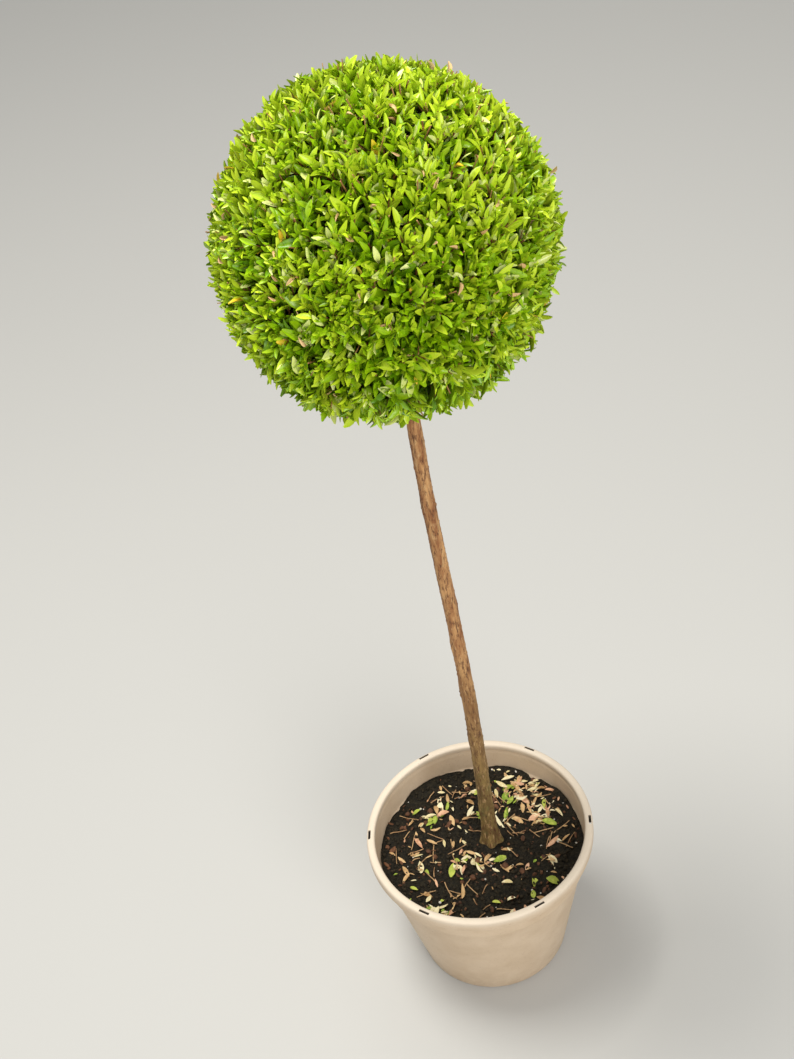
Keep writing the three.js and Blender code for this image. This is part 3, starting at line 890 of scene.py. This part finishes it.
def crown_reach(direction):
    """Distance from the ball's centre to its clipped outline, by the rule of the part's source."""
    level = math.hypot(direction.x, direction.y) / (CROWN_WIDTH / 2)
    upright = direction.z / (CROWN_HEIGHT / 2)
    turn = math.atan2(direction.y, direction.x)
    flat = 1 - direction.z * direction.z
    waves = math.sin(3 * turn + 1.1) * flat
    waves += math.sin(5 * direction.z + 2 * turn) * flat
    waves += math.sin(4 * direction.x - 3 * direction.y)
    under = smooth_step(-direction.z, 0.55, 0.95)
    return (1 + LUMP * waves / 3 - UNDER_CUT * under) / math.hypot(level, upright)


def depth_in_crown(place):
    from_centre = place - CROWN_CENTRE
    return crown_reach(from_centre.normalized()) - from_centre.length


def even_directions(count):
    """Directions spread evenly over a ball by the golden angle."""
    golden = math.pi * (3 - math.sqrt(5))
    return [direction_at(i * golden, 1 - 2 * (i + 0.5) / count) for i in range(count)]


def near_stem(place, clear=SHOOT_CLEARANCE):
    """True near the bare stem and the mouth that the ball leaves round it."""
    aside = math.hypot(place.x - CROWN_CENTRE.x, place.y - CROWN_CENTRE.y)
    return place.z < CROWN_CENTRE.z - 0.02 and aside < clear


def branch_lines():
    """The line of each branch, from the nearest bough or the stem's tip out to where it ends."""
    sources = []
    for points in boughs:
        sources += [on_curve(points, share) for share in (0.55, 0.8, 1.0)]
    sources += [stem_place(share) for share in (0.93, 0.965, 1.0)]
    draw = seeded_random(31)
    branches = []

    def cost(source):
        return (source - end).length + 0.3 * max(0, source.z - end.z)

    for direction in even_directions(BRANCH_COUNT):
        reach = crown_reach(direction) * between(*BRANCH_REACHES, draw())
        end = CROWN_CENTRE + direction * reach
        if near_stem(end, BRANCH_CLEARANCE):
            continue
        start = min(sources, key=cost)
        bend = start.lerp(end, 0.5) + 0.006 * any_direction(draw) - Vector((0, 0, 0.004))
        branches.append((start, bend, end))
    return branches


class Shoot:
    """A curved shoot from a start to a tip, which ends along a direction."""

    def __init__(self, start, tip, direction):
        reach = (tip - start).length
        self.points = (start, tip - direction * 0.5 * reach, tip)
        self.length = reach * 1.04

    def place(self, share):
        return on_curve(self.points, share)

    def onward(self, share):
        start, middle, end = self.points
        return (2 * (1 - share) * (middle - start) + 2 * share * (end - middle)).normalized()


def upward(direction, amount):
    """A direction bent towards the light, except under the ball, where shoots hang."""
    lift = amount * smooth_step(direction.z, -0.75, 0.1)
    return (direction + Vector((0, 0, lift))).normalized()


def square_to(axis, angle):
    """A direction square to an axis, at an angle round it."""
    helper = Vector((0, 0, 1)) if abs(axis.z) < 0.9 else Vector((1, 0, 0))
    first = axis.cross(helper).normalized()
    return math.cos(angle) * first + math.sin(angle) * axis.cross(first)


twig_lines = []
side_twig_lines = []
shoots = []


def add_side_shoot(draw, main, share, around, vigour):
    """Adds a side shoot at a place on a main one, shortened until it is inside the outline."""
    axis = main.onward(share)
    lean = SIDE_LEAN * between(0.75, 1.25, draw())
    out = square_to(axis, around)
    heading = upward((math.cos(lean) * axis + math.sin(lean) * out).normalized(), 0.45)
    root = main.place(share)
    length = between(*SIDE_SHOOT_LENGTHS, draw())
    while length > SHORTEST_SIDE_SHOOT:
        if depth_in_crown(root + heading * length) >= SIDE_SHOOT_INSET:
            break
        length -= 0.001
    tip = root + heading * length
    if length <= SHORTEST_SIDE_SHOOT or near_stem(tip):
        return
    shoot = Shoot(root, tip, heading)
    side_twig_lines.append((curve_line(shoot.points, SIDE_TWIG_STEPS), *SIDE_SHOOT_RADII))
    shoots.append((shoot, math.pi * draw(), vigour, SIDE_SHOOT_AGE, length * 0.8))


def add_spray(draw, direction):
    """Adds a main shoot and its side shoots, in opposite pairs. Under the ball some are missing."""
    direction = (direction + 0.05 * any_direction(draw)).normalized()
    vigour = draw()
    hollow = max(0.0, noise.noise(direction * HOLLOW_WAVES + Vector((3, 1, 7))) - 0.08)
    low = smooth_step(-direction.z, 0.15, 0.75)
    inset = between(*TIP_INSETS, draw()) + hollow * between(0.004, 0.04, low)
    missing = low * (0.3 + 0.65 * smooth_step(hollow, 0.0, 0.2))
    tip = CROWN_CENTRE + direction * (crown_reach(direction) - inset)
    growth = upward(direction, between(*GROWTH_LIFTS, draw()))
    growth = (growth + 0.25 * any_direction(draw)).normalized()
    branch = min(branches, key=lambda points: (points[2] - tip).length)
    start = on_curve(branch, between(0.75, 1, draw()))
    turn = math.pi * draw()
    if near_stem(tip) or near_stem(tip - growth * 0.01) or draw() < missing:
        return
    main = Shoot(start, tip, growth)
    twig_lines.append((curve_line(main.points, TWIG_STEPS), *SHOOT_RADII))
    shoots.append((main, turn, vigour, 0.0, LEAFY_DEPTH))
    node = 1
    while node * NODE_SPACING < LEAFY_DEPTH * 0.9:
        share = 1 - node * NODE_SPACING / main.length
        if share < 0.1:
            break
        for side in (0, math.pi):
            if draw() <= SIDE_SHOOT_SHARE - 0.25 * low:
                add_side_shoot(draw, main, share, turn + node * math.pi / 2 + side, vigour)
        node += 1


branches = branch_lines()
for points in branches:
    twig_lines.append((curve_line(points, TWIG_STEPS), *BRANCH_RADII))
draw = seeded_random(37)
for direction in even_directions(SPRAY_COUNT):
    add_spray(draw, direction)


def twig_mesh(lines):
    """Each twig as a line of points, with its own tint, and its radius at each point."""
    mesh = bpy.data.meshes.new("twig_lines")
    points, edges, radii, tints = [], [], [], []
    for i, (line, start_radius, end_radius) in enumerate(lines):
        tints += [i * 0.618 % 1] * len(line)
        first = len(points)
        points += line
        edges += [(first + j, first + j + 1) for j in range(len(line) - 1)]
        radii += [between(start_radius, end_radius, j / (len(line) - 1)) for j in range(len(line))]
    mesh.from_pydata(points, edges, [])
    give_points(mesh, "thickness", radii)
    give_points(mesh, "tint", tints)
    return mesh


def tube_tree():
    """A closed tube along each line, with the line's own thickness."""
    tree, given, result = start_tree("Tubes along lines", Sides=5)
    curve = output_of(tree, "GeometryNodeMeshToCurve", {"Mesh": given["Points"]})
    circle = {"Resolution": given["Sides"], "Radius": 1.0}
    section = output_of(tree, "GeometryNodeCurvePrimitiveCircle", circle, mode="RADIUS")
    thickness = field_value(tree, "thickness", "FLOAT")
    sweep = {"Curve": curve, "Profile Curve": section, "Scale": thickness, "Fill Caps": True}
    tube = output_of(tree, "GeometryNodeCurveToMesh", sweep)
    tube = output_of(tree, "GeometryNodeSetShadeSmooth", {0: tube})
    finish_tree(tree, given, result, tube)
    return tree


tubes = tube_tree()
young_grain = {"waves": 170, "edges": (0.42, 0.62), "fineness": 1300, "roughness": 0.6}
young_bark = rough_skin("young_bark", srgb(104, 58, 36), srgb(156, 100, 62), **young_grain)
for name, lines, sides in (("twigs", twig_lines, 5), ("side_twigs", side_twig_lines, 4)):
    piece = grown(name, twig_mesh(lines), tubes, young_bark, Sides=sides)
    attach(piece, "root")


# Leaves
# Small stiff glossy leaves stand in opposite pairs, each pair a quarter turn from the last. The
# newest, at the tips and on top, are yellow-green, and those deeper in are a darker green. Part of
# that darkening with depth and lower height is painted shade, and a few pale leaves are painted
# highlights.

LEAF_LENGTH = 0.0149
LEAF_WIDTH_SHARE = 0.29
TIP_LEAF_SHARE = 0.68
SHORTEST_LEAF = 0.0045
LEAF_SPREAD = (15, 43)
FLUSH_LENGTH = 0.0004
PROUD_LENGTHS = (0.001, 0.0048)
PROUD_SHARE = 0.3
HANGING_LENGTH = 0.005
LEAF_CLEARANCE = 0.0085
LEAF_TIP_CLEARANCE = 0.0072
LOST_LEAF_SHARE = 0.3
YELLOW_SHARE = 0.004
# Share of leaves painted pale as painted highlights.
PAINTED_HIGHLIGHT_SHARE = 0.078
LEAST_LIGHT = {"leaves_new": 1.0, "leaves_bright": 0.5, "leaves_green": -0.15}


def leaf_tree():
    """A folded, arched blade with a pointed tip on each point."""
    tree, given, result = start_tree("Leaves on points", Fold=0.24, Arch=0.1, Stations=6)
    sizes = {"Size X": 1.0, "Size Y": 1.0, "Vertices X": given["Stations"], "Vertices Y": 3}
    grid = add_node(tree, "GeometryNodeMeshGrid", sizes)
    place = output_of(tree, "GeometryNodeInputPosition")
    axes = add_node(tree, "ShaderNodeSeparateXYZ", {0: place}).outputs
    along = worked_out(tree, "ADD", axes["X"], 0.5)
    outline = add_node(tree, "ShaderNodeFloatCurve", {"Value": along})
    curve = outline.mapping.curves[0]
    for share, width in ((0.2, 0.58), (0.4, 0.92), (0.6, 1.0), (0.8, 0.78)):
        curve.points.new(share, width)
    curve.points[0].location = (0, 0.0)
    curve.points[-1].location = (1, 0.24)
    outline.mapping.update()
    width = outline.outputs[0]
    across = times(tree, axes["Y"], width)
    rise = times(tree, worked_out(tree, "ABSOLUTE", across), given["Fold"])
    droop = times(tree, times(tree, along, along), given["Arch"])
    lift = worked_out(tree, "SUBTRACT", rise, droop)
    folded = output_of(tree, "ShaderNodeCombineXYZ", {"X": along, "Y": across, "Z": lift})
    chart = {"Geometry": grid.outputs["Mesh"], "Name": "UVMap", "Value": grid.outputs["UV Map"]}
    kinds = {"data_type": "FLOAT2", "domain": "CORNER"}
    charted = output_of(tree, "GeometryNodeStoreNamedAttribute", chart, **kinds)
    blade = output_of(tree, "GeometryNodeSetPosition", {"Geometry": charted, "Position": folded})
    blade = output_of(tree, "GeometryNodeMergeByDistance", {"Geometry": blade, "Distance": 0.001})
    blade = output_of(tree, "GeometryNodeSetShadeSmooth", {0: blade})
    set_on_points(tree, given, result, blade)
    return tree


def rib_effect():
    """The paler middle rib along a leaf, by how far across the blade a place lies."""
    colors = {"Blade": (0.5, 0.5, 0.5, 1.0), "Rib": (0.5, 0.5, 0.5, 1.0)}
    inputs = {"Chart": (0.0, 0.0, 0.0), "Width": 0.09, "Amount": 0.45, **colors}
    group, given, result = shared_effect("Leaf rib", inputs, {"Color": "Color"})
    across = add_node(group, "ShaderNodeSeparateXYZ", {0: given["Chart"]}).outputs["Y"]
    aside = worked_out(group, "ABSOLUTE", worked_out(group, "SUBTRACT", across, 0.5))
    near = mask(group, aside, given["Width"], times(group, given["Width"], 0.33))
    color = mixed(group, times(group, near, given["Amount"]), given["Blade"], given["Rib"])
    set_inputs(group, result, {"Color": color})
    return group


leaf_rib = rib_effect()


def leaf_skin(name, dark, light, rib, back):
    """A glossy leaf: its own tint, slight mottling, a paler middle rib, and a paler underside."""
    material, tree, shader = new_material(name)
    place = object_place(tree)
    color = mixed(tree, own_tint(tree), dark, light)
    color = mottled(tree, place, (500, 3, 0.6), (0.35, 0.7), color, rib, 0.3)
    chart = output_of(tree, "ShaderNodeUVMap", uv_map="UVMap")
    blade = {"Chart": chart, "Blade": color, "Rib": rib}
    color = add_node(tree, "ShaderNodeGroup", blade, node_tree=leaf_rib).outputs["Color"]
    behind = add_node(tree, "ShaderNodeNewGeometry").outputs["Backfacing"]
    color = mixed(tree, times(tree, behind, 0.7), color, back)
    looks = {"Base Color": color, "Roughness": uneven(tree, place, (240, 3, 0.6), 0.32)}
    set_inputs(tree, shader, {**looks, "Specular IOR Level": 0.48})
    return material


leaf_kinds = {
    "leaves_new": ((166, 200, 10), (206, 230, 40), (222, 238, 84), (186, 208, 50)),
    "leaves_bright": ((122, 168, 2), (160, 202, 10), (190, 218, 44), (158, 186, 36)),
    "leaves_green": ((86, 136, 0), (124, 170, 4), (158, 194, 30), (132, 164, 30)),
    "leaves_deep": ((42, 76, 0), (74, 114, 2), (102, 140, 18), (90, 122, 22)),
    # The pale kind is painted highlight: glossy reflections painted into the leaves' colour.
    "leaves_painted_highlight": ((204, 218, 98), (236, 243, 156), (245, 248, 194), (210, 224, 112)),
    "leaves_yellow": ((222, 176, 16), (244, 212, 48), (250, 230, 110), (226, 200, 90)),
}
leaves = {kind: [] for kind in leaf_kinds}


def kind_of_leaf(draw, depth, age, vigour, place):
    """Which kind of leaf stands at a place: by its age and the shoot's vigour, darker deeper in and
    lower down as painted shade, and now and then pale as a painted highlight.
    """
    chance = draw()
    if chance < YELLOW_SHARE:
        return "leaves_yellow"
    height = (place.z - CROWN_CENTRE.z) / (CROWN_HEIGHT / 2)
    patch = noise.noise((place - CROWN_CENTRE) * 38)
    # Painted shade: deeper leaves, and lower ones, fall to a darker kind; age and vigour are the
    # leaves' own colour.
    light = 1.33 - depth / 0.015 - 0.9 * age + 0.2 * height + 1.1 * (vigour - 0.5) + 0.16 * patch
    # Painted highlights: a share of the leaves in lit places take the pale kind.
    if chance < PAINTED_HIGHLIGHT_SHARE and light > 0.2:
        return "leaves_painted_highlight"
    for kind, least_light in LEAST_LIGHT.items():
        if light > least_light:
            return kind
    return "leaves_deep"


def add_leaf(draw, root, axis, out, spread, length, age, vigour):
    """Adds a leaf, cut to the ball's outline. A few stand proud, and they hang free underneath."""
    along = (math.cos(spread) * axis + math.sin(spread) * out).normalized()
    along = (along + 0.13 * any_direction(draw)).normalized()
    below = CROWN_CENTRE.z - root.z
    low = smooth_step(below, -0.075, 0.07)
    hanging = smooth_step(below, 0.05, 0.085)
    length *= between(0.88, 1.14, low)
    proud = between(*PROUD_LENGTHS, draw()) if draw() < PROUD_SHARE else FLUSH_LENGTH
    proud += HANGING_LENGTH * hanging * draw()
    while length > SHORTEST_LEAF and depth_in_crown(root + along * length) < -proud:
        length -= 0.0008
    tip = root + along * length
    if near_stem(tip, LEAF_TIP_CLEARANCE) or near_stem(root.lerp(tip, 0.6), LEAF_CLEARANCE):
        return
    if length <= SHORTEST_LEAF:
        return
    depth = max(0.0, depth_in_crown(root.lerp(tip, 0.7)))
    kind = kind_of_leaf(draw, depth, age, vigour, root)
    width = length * LEAF_WIDTH_SHARE * between(0.85, 1.2, draw())
    facing = axis + 0.3 * any_direction(draw)
    size = Vector((length, width, length * between(0.5, 1.6, draw())))
    leaves[kind].append(standing(root, along, facing, size, draw()))


def add_leaves(draw, shoot, turn, vigour, first_age, leafy_depth):
    """Adds a shoot's leaves in opposite pairs, from its tip down. The deeper ones open wider."""
    for node in range(max(1, int(leafy_depth / NODE_SPACING)) + 1):
        gone = node * NODE_SPACING * between(0.85, 1.1, draw())
        share = 1 - gone / shoot.length
        if share < 0.05:
            return
        age = min(1.0, node / 5 + first_age)
        fullness = smooth_step(node, -0.8, 1.8)
        length = LEAF_LENGTH * between(TIP_LEAF_SHARE, 1.0, fullness) * between(0.8, 1.2, draw())
        axis = shoot.onward(share)
        place = shoot.place(share)
        openness = smooth_step(node, -0.5, 3)
        openness += 0.3 * smooth_step(CROWN_CENTRE.z - place.z, 0.04, 0.08)
        spread = math.radians(between(*LEAF_SPREAD, openness) * between(0.75, 1.25, draw()))
        for side in (0, math.pi):
            if node > 2 and draw() < LOST_LEAF_SHARE:
                continue
            out = square_to(axis, turn + node * math.pi / 2 + side)
            add_leaf(draw, place + out * 0.0004, axis, out, spread, length, age, vigour)


draw = seeded_random(41)
for shoot in shoots:
    add_leaves(draw, *shoot)

blades = leaf_tree()
for kind, colors in leaf_kinds.items():
    skin = leaf_skin(kind, *(srgb(*color) for color in colors))
    piece = grown(kind, points_mesh(kind, leaves[kind]), blades, skin)
    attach(piece, "root")
    if kind == "leaves_green":
        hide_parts("clipped_crown")


# Clipped tips
# Where the shears went through, a shoot ends in a dry tan stub, and cut leaves leave dry pinkish
# scraps among the new growth. There are most on top of the ball, where it was cut last.

STUB_COUNT = 320
STUB_LENGTHS = (0.006, 0.01)
STUB_WIDTHS = (0.00055, 0.00085)
STUB_DEPTH = 0.006
SCRAP_COUNT = 170
SCRAP_LENGTHS = (0.0025, 0.0065)
SCRAP_DEPTH = 0.009


def stub_tree():
    """A short cut end of a shoot on each point."""
    tree, given, result = start_tree("Stubs on points", Sides=6)
    sizes = {"Vertices": given["Sides"], "Radius Top": 0.42, "Radius Bottom": 0.5, "Depth": 1.0}
    upright = output_of(tree, "GeometryNodeMeshCone", sizes)
    laid_down = {"Geometry": upright, "Rotation": (0, math.radians(90), 0)}
    stub = output_of(tree, "GeometryNodeTransform", laid_down)
    set_on_points(tree, given, result, stub)
    return tree


def outer_place(draw, depth):
    """A place just under the ball's outline, more often on top."""
    while True:
        direction = any_direction(draw)
        if draw() < 0.3 + 0.7 * smooth_step(direction.z, -0.5, 0.7):
            break
    place = CROWN_CENTRE + direction * (crown_reach(direction) - depth * draw())
    return place, direction


def cut_stubs(draw):
    """The cut ends of shoots, pointing out and up."""
    stubs = []
    for _ in range(STUB_COUNT):
        place, direction = outer_place(draw, STUB_DEPTH)
        place -= direction * 0.0015
        along = (upward(direction, 0.5) + 0.35 * any_direction(draw)).normalized()
        width = between(*STUB_WIDTHS, draw())
        size = Vector((between(*STUB_LENGTHS, draw()), width, width))
        place -= along * size.x / 2
        if not near_stem(place):
            stubs.append(standing(place, along, square_to(along, 0), size, draw()))
    return stubs


def dry_scraps(draw):
    """Pieces of cut leaves, caught among the others at all angles."""
    scraps = []
    for _ in range(SCRAP_COUNT):
        place, direction = outer_place(draw, SCRAP_DEPTH)
        along = (upward(direction, 0.3) + 0.8 * any_direction(draw)).normalized()
        length = between(*SCRAP_LENGTHS, draw())
        size = Vector((length, length * between(0.25, 0.45, draw()), length * 1.5))
        facing = direction + 0.6 * any_direction(draw)
        if not near_stem(place):
            scraps.append(standing(place, along, facing, size, draw()))
    return scraps


draw = seeded_random(43)
cut_wood = rough_skin("cut_wood", srgb(142, 92, 52), srgb(198, 152, 98))
stub_piece = grown("clipped_stubs", points_mesh("stubs", cut_stubs(draw)), stub_tree(), cut_wood)
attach(stub_piece, "root")

scrap_skin = rough_skin("dry_scraps", srgb(196, 150, 96), srgb(232, 204, 150))
scrap_mesh = points_mesh("scraps", dry_scraps(draw))
scrap_piece = grown("clipped_scraps", scrap_mesh, blades, scrap_skin, Fold=0.5, Arch=0.3)
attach(scrap_piece, "root")


# Litter on the mix
# Clippings that fell from the ball lie on the mix in loose drifts: curled tan, cream and pinkish
# leaves, a few still green or yellow, and thin straws of old twig.

LITTER_RADIUS = 0.0715
LITTER_TIP_RADIUS = 0.073
LITTER_LENGTHS = (0.0028, 0.0116)
LITTER_RISE = 0.0012
UPSIDE_DOWN_SHARE = 0.25
DRIFT_COUNT = 11
DRIFT_SHARE = 0.6
DRIFT_RADIUS = 0.066
DRIFT_SPREADS = (0.009, 0.02)
STRAW_COUNT = 64
STRAW_LENGTHS = (0.006, 0.017)
STRAW_EDGE_RADIUS = 0.07
STRAW_RADII = (0.00042, 0.0003)
STRAW_BEND = 0.0016
STRAW_RISE = 0.0014
STRAW_STEPS = 4

litter_kinds = {
    "litter_tan": (128, 0.24, 0.42, srgb(166, 126, 76), srgb(226, 190, 138)),
    "litter_cream": (128, 0.24, 0.46, srgb(212, 194, 138), srgb(252, 242, 206)),
    "litter_pink": (48, 0.26, 0.46, srgb(190, 138, 102), srgb(236, 192, 156)),
    "litter_green": (44, 0.3, 0.66, srgb(104, 138, 24), srgb(208, 212, 96)),
}

draw = seeded_random(50)
drifts = []
for _ in range(DRIFT_COUNT):
    drifts.append((place_on_mix(draw, DRIFT_RADIUS), between(*DRIFT_SPREADS, draw())))


def litter_items(seed, count, narrow, wide):
    """Fallen leaves, in loose drifts, lying nearly flat on the mix, between two shares wide."""
    draw = seeded_random(seed)
    items = []
    while len(items) < count:
        place = place_on_mix(draw, LITTER_RADIUS)
        if draw() < DRIFT_SHARE:
            middle, spread = drifts[int(draw() * len(drifts))]
            near = middle + spread * draw() ** 0.7 * any_direction(draw)
            from_stem = (near - STEM_FOOT).xy.length
            if math.hypot(near.x, near.y) < LITTER_RADIUS and from_stem > STEM_FOOT_CLEARANCE:
                place = Vector((near.x, near.y, mix_height(near.x, near.y)))
        along = level_direction(2 * math.pi * draw())
        length = between(*LITTER_LENGTHS, draw() ** 1.8)
        far = place + along * length
        if math.hypot(far.x, far.y) > LITTER_TIP_RADIUS:
            continue
        along.z = (mix_height(far.x, far.y) - place.z) / length + between(-0.12, 0.16, draw())
        facing = Vector((0, 0, 1)) + 0.35 * any_direction(draw)
        if draw() < UPSIDE_DOWN_SHARE:
            facing.z = -facing.z
        width = length * between(narrow, wide, draw())
        size = Vector((length, width, length * between(0.1, 0.9, draw() ** 1.5)))
        place.z += LITTER_RISE + LITTER_RISE * draw()
        items.append(standing(place, along, facing, size, draw()))
    return items


for i, (kind, (count, narrow, wide, dark, light)) in enumerate(litter_kinds.items()):
    items = litter_items(51 + i, count, narrow, wide)
    skin = rough_skin(kind, dark, light, edges=(0.46, 0.7))
    piece = grown(kind, points_mesh(kind, items), blades, skin, Fold=0.42, Arch=0.5)
    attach(piece, "root")


def straw_line(draw):
    """The slightly bent line of a straw that lies on the mix."""
    middle = place_on_mix(draw, DRIFT_RADIUS)
    yaw = 2 * math.pi * draw()
    length = between(*STRAW_LENGTHS, draw())
    heading = level_direction(yaw)
    line = []
    for step in range(STRAW_STEPS + 1):
        share = step / STRAW_STEPS - 0.5
        place = middle + heading * length * share
        place += square_to(heading, 0.3) * STRAW_BEND * math.sin(yaw) * share**2
        from_middle = math.hypot(place.x, place.y)
        if from_middle > STRAW_EDGE_RADIUS:
            place = place * (STRAW_EDGE_RADIUS / from_middle)
        line.append(Vector((place.x, place.y, mix_height(place.x, place.y) + STRAW_RISE)))
    return line


draw = seeded_random(59)
straws = [(straw_line(draw), *STRAW_RADII) for _ in range(STRAW_COUNT)]
straw_skin = rough_skin("dry_straws", srgb(140, 100, 66), srgb(206, 170, 122))
straw_piece = grown("litter_straws", twig_mesh(straws), tubes, straw_skin, Sides=5)
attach(straw_piece, "root")


# Studio
# A plain pale floor under a wide soft light from above, a little to the left, with a weaker one
# from the front right. The camera looks down on the plant, a little from the right, and is rolled.

CAMERA_PLACE = Vector((0.190, -0.695, 1.065))
CAMERA_AIM = Vector((-0.022, 0.0, 0.418))
CAMERA_ROLL = math.radians(-10)
CAMERA_HEIGHT_ANGLE = math.radians(36.6)
SENSOR_HEIGHT = 36
FLOOR_HALF_WIDTH = 40


def area_light(name, place, aim, size, power, color):
    """A soft round light at a place, turned to what it lights."""
    light = bpy.data.lights.new(name, "AREA")
    light.shape = "DISK"
    light.size = size
    light.energy = power
    light.color = color
    lamp = bpy.data.objects.new(name, light)
    bpy.context.scene.collection.objects.link(lamp)
    lamp.location = place
    lamp.rotation_euler = (Vector(aim) - Vector(place)).to_track_quat("-Z", "Y").to_euler()


floor_shape = bmesh.new()
bmesh.ops.create_grid(floor_shape, x_segments=1, y_segments=1, size=FLOOR_HALF_WIDTH)
floor_material, floor_tree, floor_shader = new_material("studio_floor")
set_inputs(floor_tree, floor_shader, {"Base Color": (0.54, 0.54, 0.53, 1), "Roughness": 0.9})
floor = add_piece("studio_floor", mesh_from("studio_floor", floor_shape), floor_material)

area_light("roof_light", (-0.45, 0.1, 2.3), (0, 0, 0.4), 0.9, 42, (1.0, 0.97, 0.9))
area_light("front_light", (1.1, -1.5, 1.3), (0, 0, 0.35), 1.2, 25, (1.0, 0.98, 0.94))

world = bpy.data.worlds.new("studio_air")
world.use_nodes = True
air_light = {"Color": (1.0, 0.99, 0.95, 1), "Strength": 0.45}
set_inputs(world.node_tree, world.node_tree.nodes["Background"], air_light)
bpy.context.scene.world = world
bpy.context.scene.view_settings.view_transform = "Standard"

camera = bpy.data.objects.new("camera", bpy.data.cameras.new("camera"))
bpy.context.scene.collection.objects.link(camera)
camera.location = CAMERA_PLACE
towards = (CAMERA_AIM - CAMERA_PLACE).to_track_quat("-Z", "Y").to_matrix().to_4x4()
camera.rotation_euler = (towards @ Matrix.Rotation(CAMERA_ROLL, 4, "Z")).to_euler()
camera.data.sensor_fit = "VERTICAL"
camera.data.sensor_height = SENSOR_HEIGHT
camera.data.lens = SENSOR_HEIGHT / 2 / math.tan(CAMERA_HEIGHT_ANGLE / 2)
bpy.context.scene.camera = camera
